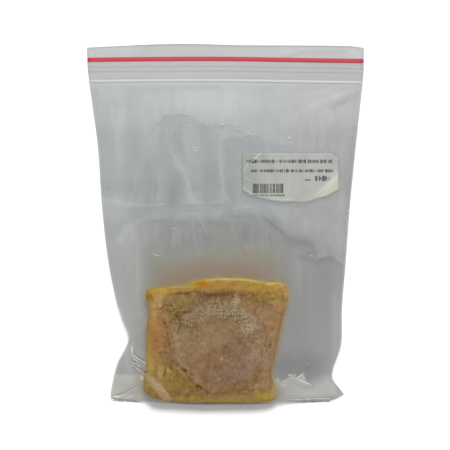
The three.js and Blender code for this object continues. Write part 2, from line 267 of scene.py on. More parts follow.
def fish_relief(x, up):
    """Height of the fish's face over its plain form."""
    ice, frost = on_ice(x, up), frost_cover(x, up)
    bare = 1 - ice
    relief = 0.6 * rough(x, up, 13, 1) + 0.36 * rough(x, up, 5, 2) + 0.2 * rough(x, up, 2.2, 3)
    relief += 0.14 * rough(x * 1.5, up * 0.45, 1.6, 4) * (0.4 + 0.6 * bare)
    relief += 0.1 * rough(x, up, 1.0, 5) + 0.45 * ice
    relief += frost * (0.35 * smoothstep(0, 0.5, cells(x, up * 0.75, 1.5, 6)) + 0.2 * rough(x, up, 0.8, 7))
    edge_of_ice = bell(np.hypot(x - ICE_CENTRE[0], up - ICE_CENTRE[1]) - ICE_RADIUS, 3.2)
    relief += 0.2 * edge_of_ice * rough(x, up, 2.6, 8)
    in_roll = np.clip(roll_share(x, up), 0, 1)
    relief += (0.9 + 0.5 * along(ROLL_GROOVE, x)) * in_roll**1.3 * (1 - in_roll) * 3.2
    knobs = np.maximum(smoothstep(12, 24, x), smoothstep(-20, -28, x)) * smoothstep(0.02, 0.2, in_roll)
    relief += knobs * (0.4 * rough(x * 0.7, up, 2.4, 9) - 0.18 * cracks(x * 0.6, up, 2.6, 18))
    lumps = oval(x, up, (-36, 60), (14, 11)) * bare
    relief += lumps * (0.5 * rough(x, up, 3.6, 10) - 0.12 * cracks(x, up, 4.2, 19))
    low_lumps = oval(x, up, (-41, 24), (7, 6))
    relief += low_lumps * (0.5 * rough(x, up * 0.6, 2.8, 15) - 0.14 * cracks(x, up * 0.6, 2.6, 20))
    inner = smoothstep(-38, -34, x)
    relief -= 0.08 * bare * cracks(x, up, 6.0, 25) * inner * smoothstep(-0.2, 0.5, rough(x, up, 7, 26))
    relief -= 0.3 * along(ROLL_GROOVE, x) * bell(roll_share(x, up), 0.2)
    ragged = 0.6 + 0.4 * rough(x, up, 2.2, 16)
    for points, width, depth in SEAMS:
        relief -= depth * ragged * near_line(x, up, points, width)
    bent = 0.8 * rough(x, up, 1.2, 34)
    for ax, aup, radius, depth in PITS:
        relief -= 0.7 * depth * np.exp(-(((x - ax) * 0.8 + bent) ** 2 + (up - aup - bent) ** 2) / radius**2)
    return relief * (0.4 + 0.6 * smoothstep(0, 4, -from_fish(x, up)))


def blurred(values, sigma):
    """A grid of values, smoothed over sigma cells both ways."""
    reach = int(3 * sigma) + 1
    weights = np.exp(-0.5 * (np.arange(-reach, reach + 1) / sigma) ** 2)
    weights /= weights.sum()
    for axis in (0, 1):
        margins = [(reach, reach) if k == axis else (0, 0) for k in (0, 1)]
        padded = np.pad(values, margins, mode="edge")
        count = values.shape[axis]
        slices = (np.take(padded, range(k, k + count), axis=axis) for k in range(2 * reach + 1))
        values = sum(weight * part for weight, part in zip(weights, slices))
    return values


def make_mesh(name, points, faces):
    """A smooth object at the origin whose mesh has these points, given in mm as x, up and z."""
    places = np.array(points, dtype=float) + (0, FOLD_Y, 0)
    mesh = bpy.data.meshes.new(name)
    mesh.from_pydata((places * MM).tolist(), [], faces)
    mesh.polygons.foreach_set("use_smooth", [True] * len(mesh.polygons))
    mesh.update()
    piece = bpy.data.objects.new(name, mesh)
    bpy.context.collection.objects.link(piece)
    return piece


def add_values(piece, name, values):
    """One number for each point of a piece, for its material."""
    layer = piece.data.attributes.new(name, "FLOAT", "POINT")
    layer.data.foreach_set("value", np.asarray(values, dtype=np.float32).ravel())


def grid_faces(rows, columns):
    """Faces of a grid of points, numbered row by row."""
    wide = columns + 1
    starts = [j * wide + i for j in range(rows) for i in range(columns)]
    return [(k, k + 1, k + wide + 1, k + wide) for k in starts]


def grid_rim(rows, columns):
    """Numbers of a grid's outer points, in turn, anticlockwise from its lower left corner."""
    wide = columns + 1
    rim = list(range(columns)) + [j * wide + columns for j in range(rows)]
    rim += [rows * wide + i for i in range(columns, 0, -1)] + [j * wide for j in range(rows, 0, -1)]
    return rim


bag_points, bag_triangles, bag_tree = read_solid("bag")

# The face: a grid bent to the outline, a little under the bag's solid, with its relief.
across = np.linspace(-1, 1, FISH_COLUMNS + 1)[None, :]
lengthways = np.linspace(-1, 1, FISH_ROWS + 1)[:, None]
pull = CORNER_PULL * (across**2 * lengthways**2) ** 4
fish_x = np.zeros((FISH_ROWS + 1, FISH_COLUMNS + 1))
fish_up = fish_x + 40
# The sides bend with the height and the ends with x, so a few rounds settle the grid's places.
for _ in range(4):
    low, high = along(FISH_FOOT, fish_x), along(FISH_TOP, fish_x)
    fish_up = (low + high) / 2 + (high - low) / 2 * lengthways * (1 - pull)
    low, high = along(FISH_LEFT, fish_up), along(FISH_RIGHT, fish_up)
    fish_x = (low + high) / 2 + (high - low) / 2 * across * (1 - pull)
fish_x += 0.5 * rough(fish_x, fish_up, 5, 21) * np.abs(across) ** 8
fish_up += (0.5 * rough(fish_x, fish_up, 5, 22) + 0.35 * (lengthways < 0)) * np.abs(lengthways) ** 8
fish_z = surface_height(bag_tree, fish_x, np.maximum(fish_up, FISH_LOWEST_LOOK)) - FISH_CLEARANCE
fish_z += fish_relief(fish_x, fish_up)

# The sides, which draw in towards the table, and the sole.
fish_points = np.stack([fish_x, fish_up, fish_z], -1).reshape(-1, 3)
fish_faces = grid_faces(FISH_ROWS, FISH_COLUMNS)
shoulder_ring = grid_rim(FISH_ROWS, FISH_COLUMNS)
shoulder = fish_points[shoulder_ring]
fish_middle = shoulder.mean(0)
outward = shoulder[:, :2] - fish_middle[:2]
outward /= np.linalg.norm(outward, axis=1)[:, None]
rings = []
for ring in range(1, FISH_SIDE_RINGS + 1):
    down = ring / FISH_SIDE_RINGS
    inset = FISH_UNDERCUT * (1 - math.cos(down * math.pi / 2)) ** 1.5
    flat = shoulder[:, :2] - outward * inset
    swell = math.sin(math.pi * down) * (0.25 * rough(shoulder[:, 0], shoulder[:, 1] + 30 * down, 4, 23))
    flat += outward * swell[:, None]
    height = shoulder[:, 2] + (FISH_SOLE - shoulder[:, 2]) * down**1.1
    rings.append(np.column_stack([flat, height]))
for shrink in SOLE_RINGS:
    flat = fish_middle[:2] + (rings[FISH_SIDE_RINGS - 1][:, :2] - fish_middle[:2]) * shrink
    height = FISH_SOLE + 0.35 * (1 - shrink) * (1 + rough(flat[:, 0], flat[:, 1], 8, 24))
    rings.append(np.column_stack([flat, height]))
upper_ring = shoulder_ring
for ring in rings:
    first = len(fish_points)
    fish_points = np.vstack([fish_points, ring])
    lower_ring = list(range(first, first + len(ring)))
    for k, start in enumerate(upper_ring):
        after = (k + 1) % len(ring)
        fish_faces.append((start, lower_ring[k], lower_ring[after], upper_ring[after]))
    upper_ring = lower_ring
fish_points = np.vstack([fish_points, [fish_middle[0], fish_middle[1], FISH_SOLE + 0.5]])
fish_tip = len(fish_points) - 1
fish_faces += [(start, fish_tip, upper_ring[(k + 1) % len(upper_ring)]) for k, start in enumerate(upper_ring)]
fish = make_mesh("salmon_portion", fish_points, fish_faces)


def srgb(red, green, blue):
    """A screen colour in the linear values that a shader takes."""
    parts = [channel / 255 for channel in (red, green, blue)]
    return [c / 12.92 if c <= 0.04045 else ((c + 0.055) / 1.055) ** 2.4 for c in parts] + [1.0]


class Nodes:
    """A node tree that is put together step by step; sockets and plain values can both be inputs."""

    def __init__(self, tree):
        self.tree = tree

    def node(self, kind, inputs=(), **settings):
        made = self.tree.nodes.new(kind)
        for key, value in settings.items():
            setattr(made, key, value)
        for key, value in dict(inputs).items():
            self.feed(made.inputs[key], value)
        return made

    def feed(self, socket, value):
        if isinstance(value, bpy.types.NodeSocket):
            self.tree.links.new(value, socket)
        else:
            socket.default_value = value


class Finish(Nodes):
    """The nodes of a material."""

    def __init__(self, name):
        self.material = bpy.data.materials.new(name)
        self.material.use_nodes = True
        super().__init__(self.material.node_tree)
        self.tree.nodes.clear()

    def mark(self, name):
        """One of the piece's own numbers."""
        return self.node("ShaderNodeAttribute", attribute_name=name).outputs["Fac"]

    def sum(self, operation, *values):
        return self.node("ShaderNodeMath", enumerate(values), operation=operation).outputs[0]

    def mix(self, first, second, amount):
        made = self.node("ShaderNodeMix", {0: amount, 6: first, 7: second}, data_type="RGBA")
        return made.outputs[2]

    def noise(self, size, detail=3.0, stretch=(1, 1, 1)):
        """Noise with bumps about size mm across, which stretch makes finer along an axis."""
        place = self.node("ShaderNodeTexCoord").outputs["Object"]
        turned = self.node("ShaderNodeMapping", {"Vector": place, "Scale": stretch}).outputs[0]
        inputs = {"Vector": turned, "Scale": 1 / (size * MM), "Detail": detail}
        return self.node("ShaderNodeTexNoise", inputs).outputs["Fac"]

    def spread(self, value, low, high):
        """A value stretched so that low becomes 0 and high becomes 1."""
        return self.node("ShaderNodeMapRange", {"Value": value, "From Min": low, "From Max": high}).outputs[0]

    def bump(self, height, depth, strength=1.0):
        """A surface normal from a height socket, for relief about depth mm deep."""
        inputs = {"Height": height, "Distance": depth * MM, "Strength": strength}
        return self.node("ShaderNodeBump", inputs).outputs[0]

    def finish(self, shader):
        self.feed(self.node("ShaderNodeOutputMaterial").inputs["Surface"], shader)
        return self.material


def blend(colours, tone, cover):
    """Colours moved towards a tone by a share from 0 to 1."""
    return colours + (np.array(tone) - colours) * cover[..., None]


def paint(colours, x, up, strokes, seed, fray=1.2):
    """Soft oval strokes of colour, one over another: x, up, half width, half height, strength, colour."""
    a = x + fray * rough(x, up, 4.5, seed) + 0.5 * fray * rough(x, up, 1.7, seed + 2)
    b = up + fray * rough(x, up, 4.5, seed + 1) + 0.5 * fray * rough(x, up, 1.7, seed + 3)
    for cx, cup, wide, tall, strength, shade in strokes:
        colours = blend(colours, shade, strength * oval(a, b, (cx, cup), (wide, tall), 1.6))
    return colours


def linear(level):
    """The linear value of a screen level from 0 to 255."""
    return np.where(level > 10.3, ((level / 255 + 0.055) / 1.055) ** 2.4, level / 255 / 12.92)


def add_colours(piece, name, values):
    """One linear colour for each point of a piece, for its material."""
    layer = piece.data.attributes.new(name, "FLOAT_COLOR", "POINT")
    values = values.reshape(-1, 3)
    with_alpha = np.column_stack([values, np.ones(len(values))])
    layer.data.foreach_set("color", with_alpha.astype(np.float32).ravel())


FLESH = (137, 109, 78)
ICY_TONE = (138, 112, 84)
QUIET_FAT_TONE = (158, 130, 78)
GAP_SHADE_TONE = (78, 56, 34)
RIM_LIGHT_TONE = (182, 150, 84)
SIDE_WALL_TONE = (150, 122, 74)
RELIEF_TINT = (1.0, 0.97, 0.85)
BARE_FLESH = [
    (-48, 44, 6.5, 28, 1, (160, 121, 70)), (-47, 63, 5.5, 7, 0.8, (171, 137, 90)),
    (-42, 47, 6.5, 16, 0.9, (154, 113, 71)), (-36, 48, 5, 10, 0.8, (141, 109, 72)),
    (-33, 66, 12, 7, 0.9, (130, 104, 58)), (-29, 57, 7, 6, 0.8, (120, 98, 63)),
    (-25, 62, 6, 3.2, 0.7, (116, 101, 74)), (-21, 69.8, 6, 2.8, 0.9, (136, 111, 60)),
    (-7, 70.4, 12, 2.6, 0.95, (113, 83, 57)), (8, 70.2, 6, 2.4, 0.8, (126, 99, 68)),
    (20, 69, 9, 3, 0.8, (130, 103, 57)), (30, 56, 10, 10, 0.9, (154, 119, 94)),
    (24.5, 65, 8, 3.5, 0.8, (131, 101, 64)), (35, 67, 6, 6, 0.8, (164, 132, 84)),
    (33, 52, 5, 6, 0.6, (156, 124, 92)), (32, 45, 5, 4, 0.7, (154, 126, 96)),
    (31, 38.5, 4, 3, 0.7, (153, 125, 95)), (30, 29, 4, 8, 0.8, (151, 123, 102)),
    (27, 15, 6, 8, 0.8, (150, 118, 90)), (-31, 15, 16, 10, 1, (142, 115, 63)),
    (-21, 12, 8, 4, 0.8, (130, 106, 62)), (-43, 24, 8, 5, 0.9, (165, 135, 79)),
    (-37, 27, 5, 3, 0.6, (133, 103, 62)), (-4, 7, 44, 3.4, 0.8, (125, 99, 60)),
    (0, 4.2, 40, 2.2, 0.9, (145, 117, 59)), (24, 6, 9, 3.4, 0.9, (160, 131, 72)),
    (27, 3.6, 5, 2, 0.9, (182, 158, 76)), (-46, 28, 3.4, 2.6, 0.5, (168, 138, 84)),
]
ICY_FLESH = [
    (-4, 62, 22, 6, 0.7, (140, 122, 96)), (-12, 44, 13, 8, 0.8, (145, 118, 86)),
    (-4, 55.4, 11, 3.8, 0.9, (130, 105, 79)), (-24, 50, 8, 7, 0.7, (127, 105, 77)),
    (1, 35, 11, 5.5, 0.8, (121, 94, 70)), (-9, 28.6, 12, 6, 0.7, (132, 102, 74)),
    (8, 21, 13, 9, 0.9, (132, 103, 90)), (15, 53.5, 7, 6, 0.8, (149, 129, 106)),
    (-7, 22, 10, 5, 0.7, (122, 96, 74)), (18, 15, 9, 5, 0.7, (140, 112, 96)),
    (12.5, 52, 3.4, 2.6, 0.6, (156, 130, 112)), (17, 29, 8, 10, 0.8, (143, 115, 97)),
    (-32, 39.5, 5, 5, 0.8, (141, 116, 90)), (4, 12, 13, 4.4, 0.8, (127, 100, 76)),
    (11, 40, 9, 6, 0.8, (124, 97, 80)), (-12.3, 26.1, 2.2, 1.3, 0.7, (128, 92, 54)),
    (5, 66, 9, 3.4, 0.6, (146, 124, 98)), (-16, 62, 6, 4, 0.6, (131, 114, 90)),
    (20, 38, 6, 5, 0.5, (148, 121, 93)),
]
STRIPES = [
    # Small marks on top of all: orange oil, painted highlights on pale crests, painted shade in dark gaps.
    (-15, 78.5, 4, 1.7, 1, (186, 122, 4)), (-47.8, 69.8, 2.4, 2.1, 1, (146, 80, 0)),
    (-40, 74.4, 3.4, 1.9, 0.8, (190, 166, 80)), (-46, 74, 3, 2, 0.8, (184, 154, 52)),
    (-31, 76.6, 4.2, 1, 0.8, (186, 166, 92)), (-22, 76.6, 3.4, 0.7, 0.6, (184, 158, 104)),
    (-22.5, 79, 2.6, 1.2, 0.7, (174, 158, 66)), (-14, 75.4, 5, 1.4, 0.6, (146, 112, 52)),
    (15.8, 78.7, 1.8, 1.2, 0.7, (184, 158, 110)), (20, 75.4, 6, 2.2, 0.85, (150, 132, 40)),
    (29, 71.2, 8, 2.2, 0.7, (154, 131, 56)), (12, 77, 3, 2.4, 0.5, (164, 138, 70)),
    (28.4, 78.8, 2.2, 0.8, 0.8, (200, 182, 112)), (33.4, 76.2, 2.2, 0.8, 0.7, (190, 168, 104)),
    (39.4, 72.6, 1.4, 3.2, 0.8, (188, 160, 104)), (30.6, 75.2, 1.5, 0.8, 0.6, (112, 86, 36)),
    (-30.1, 72.5, 2.4, 0.6, 1, (94, 64, 20)), (-24.4, 72.5, 1.9, 0.6, 1, (104, 70, 28)),
    (-49.6, 31, 1.6, 13, 0.9, (186, 160, 70)), (-50.4, 46, 1, 8, 0.6, (166, 140, 80)),
    (-24, 60.4, 3.6, 1, 0.4, (100, 88, 62)), (-31.7, 59, 1.7, 1.5, 0.7, (100, 76, 42)),
    (-39, 54, 0.9, 0.9, 0.8, (92, 62, 36)), (-35, 38.6, 1.3, 1.1, 0.7, (178, 152, 122)),
    (-33.4, 46.4, 0.9, 1.6, 0.6, (170, 140, 108)), (-33, 43, 1, 0.9, 0.6, (172, 146, 116)),
    (-42.4, 44.6, 4.4, 0.4, 0.4, (124, 88, 52)), (-42.4, 41.4, 4.4, 0.4, 0.4, (124, 88, 52)),
    (-44.8, 21.5, 0.9, 3.2, 0.4, (112, 86, 40)), (-38.8, 20.5, 0.9, 3.4, 0.4, (112, 86, 40)),
    (-41.6, 21.4, 1.2, 3, 0.5, (172, 142, 84)), (-50.8, 21.6, 2.4, 0.6, 0.7, (112, 96, 38)),
    (-50, 19.4, 3, 0.5, 0.6, (116, 98, 36)), (-8, 71.6, 9, 1.2, 0.8, (104, 70, 46)),
    (-4.2, 17.4, 1.6, 1.6, 0.6, (166, 142, 112)), (-2.5, 29.9, 0.8, 1.2, 0.7, (182, 158, 130)),
    (28.9, 39.7, 1.2, 0.9, 0.8, (92, 70, 46)), (32.7, 33.2, 0.9, 1.6, 0.6, (184, 162, 128)),
    (-51.2, 12, 1.8, 4.2, 1, (142, 138, 42)), (-47.5, 8.6, 3, 2.6, 0.8, (146, 122, 44)),
    (-26, 4.6, 16, 1.2, 0.7, (166, 140, 66)), (2, 3.4, 22, 1, 0.8, (176, 142, 56)),
    (14, 2.2, 14, 0.8, 0.6, (188, 150, 98)), (25, 5.4, 6, 2.6, 0.7, (170, 146, 66)),
    (8, 5.6, 7, 1.3, 0.7, (160, 134, 94)), (31.6, 8, 1.9, 6, 0.8, (176, 164, 110)),
    (-22, 2.2, 10, 1.2, 0.7, (168, 146, 96)), (4, 78.6, 9, 2.6, 0.5, (162, 130, 75)),
    (7, 67.5, 2.4, 2.6, 0.7, (172, 156, 124)), (14, 50.5, 4.5, 4, 0.5, (164, 144, 120)),
    (-43, 70, 5, 3.2, 0.8, (178, 148, 94)), (35, 68, 5, 4, 0.5, (176, 146, 92)),
    (-17.7, 12.2, 1.7, 1.2, 0.8, (84, 62, 38)), (-26.4, 23.2, 1.5, 1, 0.7, (88, 66, 42)),
    (-22.6, 20.6, 1.1, 1.3, 0.6, (94, 72, 46)), (-24, 18.4, 3.6, 2.6, 0.5, (122, 94, 60)),
    (-16.5, 65.4, 6, 2.6, 0.4, (100, 82, 58)), (26.5, 32.5, 5, 10, 0.3, (176, 150, 140)),
    (-46.5, 64, 4.5, 6, 0.3, (198, 166, 130)), (39.6, 67, 2.2, 8, 0.35, (196, 176, 140)),
    (-3, 6.8, 17, 2.6, 0.3, (166, 144, 112)), (32, 7, 4, 3.4, 0.5, (186, 170, 132)),
    (9.5, 26.5, 5, 4, 0.3, (112, 84, 60)), (-22, 29, 5, 7, 0.25, (112, 88, 54)),
    (-12, 13.6, 7, 3.4, 0.3, (104, 78, 48)), (-38, 40, 4, 5, 0.25, (116, 86, 60)),
    (25.5, 29.5, 3.6, 6, 0.2, (172, 144, 136)), (-46.5, 55, 4.4, 7, 0.25, (190, 150, 104)),
]
FILM_STRIP = [(-54, 21), (-48.5, 17), (-44, 12.5), (-40, 8), (-37.4, 3.6)]
FILM_STRIP_TONE = (180, 159, 134)
# Painted highlights along the two edges of the strip of film on the fish.
STRIP_EDGE_HIGHLIGHTS = [
    [(-51.5, 21.4), (-46.8, 17.6), (-42.4, 13.4), (-38.2, 8.8), (-35.4, 4.2)],
    [(-51, 15.6), (-46, 11.2), (-42, 6.8), (-39.4, 3)],
]
STRIP_EDGE_HIGHLIGHT_TONE = (206, 182, 138)
# The roll of fat is darker at its foot and lighter towards its top: its own colour with painted shade.
FAT_ACROSS = [(0, 0), (1, 0.1), (2, 0.35), (3, 0.6), (4, 0.8), (5, 0.92), (6, 1)]
FAT_TONES_SHADED = [
    (120, 90, 58), (136, 100, 59), (154, 118, 61), (166, 131, 69), (179, 144, 80), (190, 170, 106),
    (168, 150, 96),
]
# The film over the fish adds a veil of light, and the lamps and the room multiply the flesh's own colour.
FISH_VEIL = 0.022
FISH_GAIN = 1.215
# A painted highlight along the crest of the roll of fat, its strength by x.
CREST_HIGHLIGHT = [(-24, 0.2), (-18, 0.1), (-8, 0.5), (0, 1), (10, 0.9), (16, 0.5), (24, 0.35), (41, 0.3)]
CREST_HIGHLIGHT_TONE = (206, 194, 124)

# The colours: bare flesh, the ice, the roll of fat across its height with painted shade at its foot and a
# painted highlight on its crest, and the small marks, some of them painted highlights and shade.
face_x, face_up, face_z = fish_points[:, 0], fish_points[:, 1], fish_points[:, 2]
side_wall = 1 - smoothstep(9, 19, face_z)
ice, frost_here = on_ice(face_x, face_up), frost_cover(face_x, face_up)
share = roll_share(face_x, face_up)
plain = np.full((len(fish_points), 3), FLESH, dtype=float)
colours = paint(plain, face_x, face_up, BARE_FLESH, 41)
icy = paint(np.full_like(plain, ICY_TONE), face_x, face_up, ICY_FLESH, 45)
colours = blend(colours, icy, ice)
places = [place for _, place in FAT_ACROSS]
fat = np.stack([np.interp(share, places, [tone[k] for tone in FAT_TONES_SHADED]) for k in range(3)], -1)
fat = blend(fat, QUIET_FAT_TONE, 0.5 * smoothstep(-16, -30, face_x))
colours = blend(colours, fat, smoothstep(-0.08, 0.08, share))
crest = bell(along(FISH_TOP, face_x) - face_up - 1.1, 0.9) * along(CREST_HIGHLIGHT, face_x)
colours = blend(colours, CREST_HIGHLIGHT_TONE, crest)
colours = paint(colours, face_x, face_up, STRIPES, 49, 0.5)

# Painted light and shade: crests of the relief are painted lighter and its hollows darker, with random tone
# and the frost's grain on top; then painted shade in the seams, pits and groove, painted light along the
# rim, and the strip of film across one corner with painted highlights on its edges.
grid_count = (FISH_ROWS + 1) * (FISH_COLUMNS + 1)
relief = fish_relief(fish_x, fish_up)
cavity = np.zeros(len(fish_points))
cavity[:grid_count] = (relief - blurred(relief, 5)).ravel()
sharp = np.zeros(len(fish_points))
sharp[:grid_count] = (relief - blurred(relief, 1.6)).ravel()
on_roll = smoothstep(-0.05, 0.15, share)
low_left = oval(face_x, face_up, (-32, 14), (12, 8))
tone = 26 * np.clip(cavity, -0.7, 0.5) + 60 * np.clip(sharp, -0.25, 0.2)
left_flesh = oval(face_x, face_up, (-44, 46), (6.5, 14))
tone *= 1 - 0.45 * on_roll * (1 - smoothstep(16, 26, face_x)) - 0.4 * low_left - 0.55 * left_flesh
tone *= 1 + 0.5 * oval(face_x, face_up, (-34, 60), (10, 8))
tone += 5 * rough(face_x, face_up, 4.2, 51) + (5 - 2 * ice) * rough(face_x, face_up, 1.9, 52)
tone += 4 * rough(face_x * 1.6, face_up * 0.6, 1.5, 53) * (1 - ice) * (1 - on_roll) * (1 - left_flesh)
tone += 4 * rough(face_x * 0.35, face_up * 1.4, 1.6, 58) * on_roll + 2 * rough(face_x, face_up, 0.8, 54)
tone += frost_here * (72 * (smoothstep(0, 0.42, cells(face_x, face_up * 0.7, 1.7, 6)) - 0.8) + 9)
streaky = smoothstep(-0.2, 0.5, rough(face_x, face_up, 7, 59))
tone += ice * streaky * 10 * rough(face_x, face_up * 0.5, 0.9, 55)
tone += ice * 5 * rough(face_x, face_up, 6.5, 60)
colours = colours + tone[:, None] * np.array(RELIEF_TINT)
colours[:, 0] += 3 * rough(face_x, face_up, 3.0, 56) - 5 * frost_here
colours[:, 2] -= 5 * rough(face_x, face_up, 2.4, 57)
# Painted shade in the seams, the pits and the groove under the roll, over their real dips.
dark = np.zeros(len(fish_points))
ragged = smoothstep(-0.3, 0.6, rough(face_x, face_up, 2.6, 33))
for points, width, depth in SEAMS:
    dark = np.maximum(dark, 0.42 * depth * ragged * near_line(face_x, face_up, points, width))
bent = 0.9 * rough(face_x, face_up, 1.3, 34)
for ax, aup, radius, depth in PITS:
    away = np.hypot((face_x - ax) * 0.8 + bent, face_up - aup - bent) / radius
    dark = np.maximum(dark, 0.36 * min(1, depth) * np.exp(-(away**2) * 1.1))
groove = along(ROLL_GROOVE, face_x) * smoothstep(-0.9, 0.3, rough(face_x, face_up, 2.6, 32))
dark = np.maximum(dark, 0.3 * groove * bell(share, 0.16))
colours = blend(colours, GAP_SHADE_TONE, dark)
# Painted light on the top face along the fish's outline, off the roll.
rim_light = bell(from_fish(face_x, face_up) + 2.0, 2.6) * (face_z > 5) * (1 - on_roll)
rim_light *= 0.2 + 0.1 * rough(face_x, face_up, 9, 35)
colours = blend(colours, RIM_LIGHT_TONE, rim_light)
strip = near_line(face_x, face_up, FILM_STRIP, 2.3)
colours = blend(colours, FILM_STRIP_TONE, 0.8 * strip * (face_z > 3))
broken = smoothstep(-0.5, 0.3, rough(face_x, face_up, 3, 36))
for edge_line in STRIP_EDGE_HIGHLIGHTS:
    colours = blend(colours, STRIP_EDGE_HIGHLIGHT_TONE, 0.5 * near_line(face_x, face_up, edge_line, 0.5) * broken)
colours = blend(colours, SIDE_WALL_TONE, 0.6 * side_wall)
shown = np.clip(colours, 24, 235)
add_colours(fish, "shade", np.clip((linear(shown) - FISH_VEIL) / FISH_GAIN, 0.004, 0.95))

skin = Finish("frozen_salmon")
fine = skin.noise(0.9, 4.0)
surface = skin.node("ShaderNodeBsdfPrincipled", {
    "Base Color": skin.node("ShaderNodeAttribute", attribute_name="shade").outputs["Color"],
    "Roughness": 0.5, "Specular IOR Level": 0.2,
    "Normal": skin.bump(skin.sum("ADD", fine, skin.noise(0.4, 2.0)), 0.2, 0.5),
})
fish.data.materials.append(skin.finish(surface.outputs[0]))
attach(fish, "root")
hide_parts("bag")

# The frost on the fish.
# Loose grains of ice between the film and the flesh, about a millimetre long or less, packed on the upper
# and right arc of the ice patch and scattered one by one elsewhere on it.
FROST_DENSITY = 1.0
FROST_GRAIN = (0.2, 0.5)
FROST_SEED = 7
LONE_GRAINS = 0.01
GRAIN_TURN = (0.4, 0.4, 0.7)
GRAIN_FORM = (0.8, 1.8, 0.8)


class Shapes(Nodes):
    """A Geometry Nodes tree with named inputs."""

    def __init__(self, name, inputs):
        super().__init__(bpy.data.node_groups.new(name, "GeometryNodeTree"))
        sockets = self.tree.interface
        sockets.new_socket("Geometry", in_out="INPUT", socket_type="NodeSocketGeometry")
        for label, kind in inputs.items():
            sockets.new_socket(label, in_out="INPUT", socket_type=f"NodeSocket{kind}")
        sockets.new_socket("Geometry", in_out="OUTPUT", socket_type="NodeSocketGeometry")
        self.given = self.node("NodeGroupInput").outputs

    def marked(self, name):
        """One of the source's own numbers at each point."""
        return self.node("GeometryNodeInputNamedAttribute", {"Name": name}).outputs[0]

    def random(self, low=0.0, high=1.0):
        """A number between two ends for each instance, drawn from the tree's seed."""
        inputs = {2: low, 3: high, "Seed": self.given["Seed"]}
        return self.node("FunctionNodeRandomValue", inputs, data_type="FLOAT").outputs[1]

    def times(self, first, second):
        return self.node("ShaderNodeMath", {0: first, 1: second}, operation="MULTIPLY").outputs[0]

    def end(self, shapes):
        """The close of every tree: instances made real, and the material set."""
        real = self.node("GeometryNodeRealizeInstances", {"Geometry": shapes}).outputs[0]
        inputs = {"Geometry": real, "Material": self.given["Material"]}
        dressed = self.node("GeometryNodeSetMaterial", inputs)
        self.feed(self.node("NodeGroupOutput").inputs["Geometry"], dressed.outputs[0])


def grow(name, source, shapes, values):
    """A new plain piece, made by a tree from a source object that is then removed."""
    modifier = source.modifiers.new(name, "NODES")
    modifier.node_group = shapes.tree
    for item in shapes.tree.interface.items_tree:
        if item.in_out == "INPUT" and item.name in values:
            modifier[item.identifier] = values[item.name]
    graph = bpy.context.evaluated_depsgraph_get()
    mesh = bpy.data.meshes.new_from_object(source.evaluated_get(graph), depsgraph=graph)
    source.modifiers.remove(modifier)
    bpy.data.objects.remove(source)
    mesh.name = name
    piece = bpy.data.objects.new(name, mesh)
    bpy.context.collection.objects.link(piece)
    return piece


grains = Shapes("frost_grains", {
    "Density": "Float", "Smallest": "Float", "Largest": "Float", "Seed": "Int", "Material": "Material",
})
scattered = grains.node("GeometryNodeDistributePointsOnFaces", {
    "Mesh": grains.given["Geometry"], "Seed": grains.given["Seed"],
    "Density": grains.times(grains.marked("cover"), grains.given["Density"]),
})
size = grains.random(grains.given["Smallest"], grains.given["Largest"])
inputs = {0: [-most for most in GRAIN_TURN], 1: GRAIN_TURN, "Seed": grains.given["Seed"]}
turn = grains.node("FunctionNodeRandomValue", inputs, data_type="FLOAT_VECTOR")
ball = grains.node("GeometryNodeMeshIcoSphere", {"Radius": 1.0, "Subdivisions": 1})
grain = grains.node("GeometryNodeTransform", {"Geometry": ball.outputs["Mesh"], "Scale": GRAIN_FORM})
toned = grains.node("GeometryNodeStoreNamedAttribute", {
    "Geometry": scattered.outputs["Points"], "Name": "tone", "Value": grains.random(),
})
placed = grains.node("GeometryNodeInstanceOnPoints", {
    "Points": toned.outputs[0], "Instance": grain.outputs[0], "Rotation": turn.outputs[0], "Scale": size,
})
grains.end(placed.outputs[0])

rime = Finish("frost_grain")
surface = rime.node("ShaderNodeBsdfPrincipled", {
    "Base Color": rime.mix(srgb(113, 103, 81), srgb(184, 170, 142), rime.mark("tone")),
    "Roughness": 0.6, "Specular IOR Level": 0.15, "Alpha": 0.62,
})
rime.finish(surface.outputs[0])

frost_bed = make_mesh(
    "frost_bed",
    np.stack([fish_x, fish_up, fish_z], -1)[::2, ::2].reshape(-1, 3),
    grid_faces(FISH_ROWS // 2, FISH_COLUMNS // 2),
)
bed_x, bed_up = fish_x[::2, ::2], fish_up[::2, ::2]
add_values(frost_bed, "cover", frost_cover(bed_x, bed_up) ** 1.5 + LONE_GRAINS * on_ice(bed_x, bed_up))
frost = grow("frost_grains", frost_bed, grains, {
    "Density": FROST_DENSITY / MM**2, "Smallest": FROST_GRAIN[0] * MM, "Largest": FROST_GRAIN[1] * MM,
    "Seed": FROST_SEED, "Material": rime.material,
})
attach(frost, "root")
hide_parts("bag")

# The film of the bag.
# Two sheets of clear, slightly milky polythene, welded along both sides and folded at the bottom. They are
# flat at the zip, hold a little air in the pouch, hang in soft folds and cling to the damp fish.
FILM_COLUMNS = 246
FILM_ROWS = 327
BACK_STEP = 3
BACK_CLEARANCE = 0.12
SEAM_INSET = 0.35
FORM_BLUR = 2.0
FILM_LOWEST = 0.4
OUTLINE_LEVELS = 180
OUTLINE_STATIONS = 100
CORNER_LEVELS = 12
LABEL_LEFT, LABEL_RIGHT, LABEL_FOOT, LABEL_TOP = 11.0, 73.4, 131.0, 163.2
PAPER = 0.18
PAPER_GAP = 0.4
ZIP_FOOT = 208.0
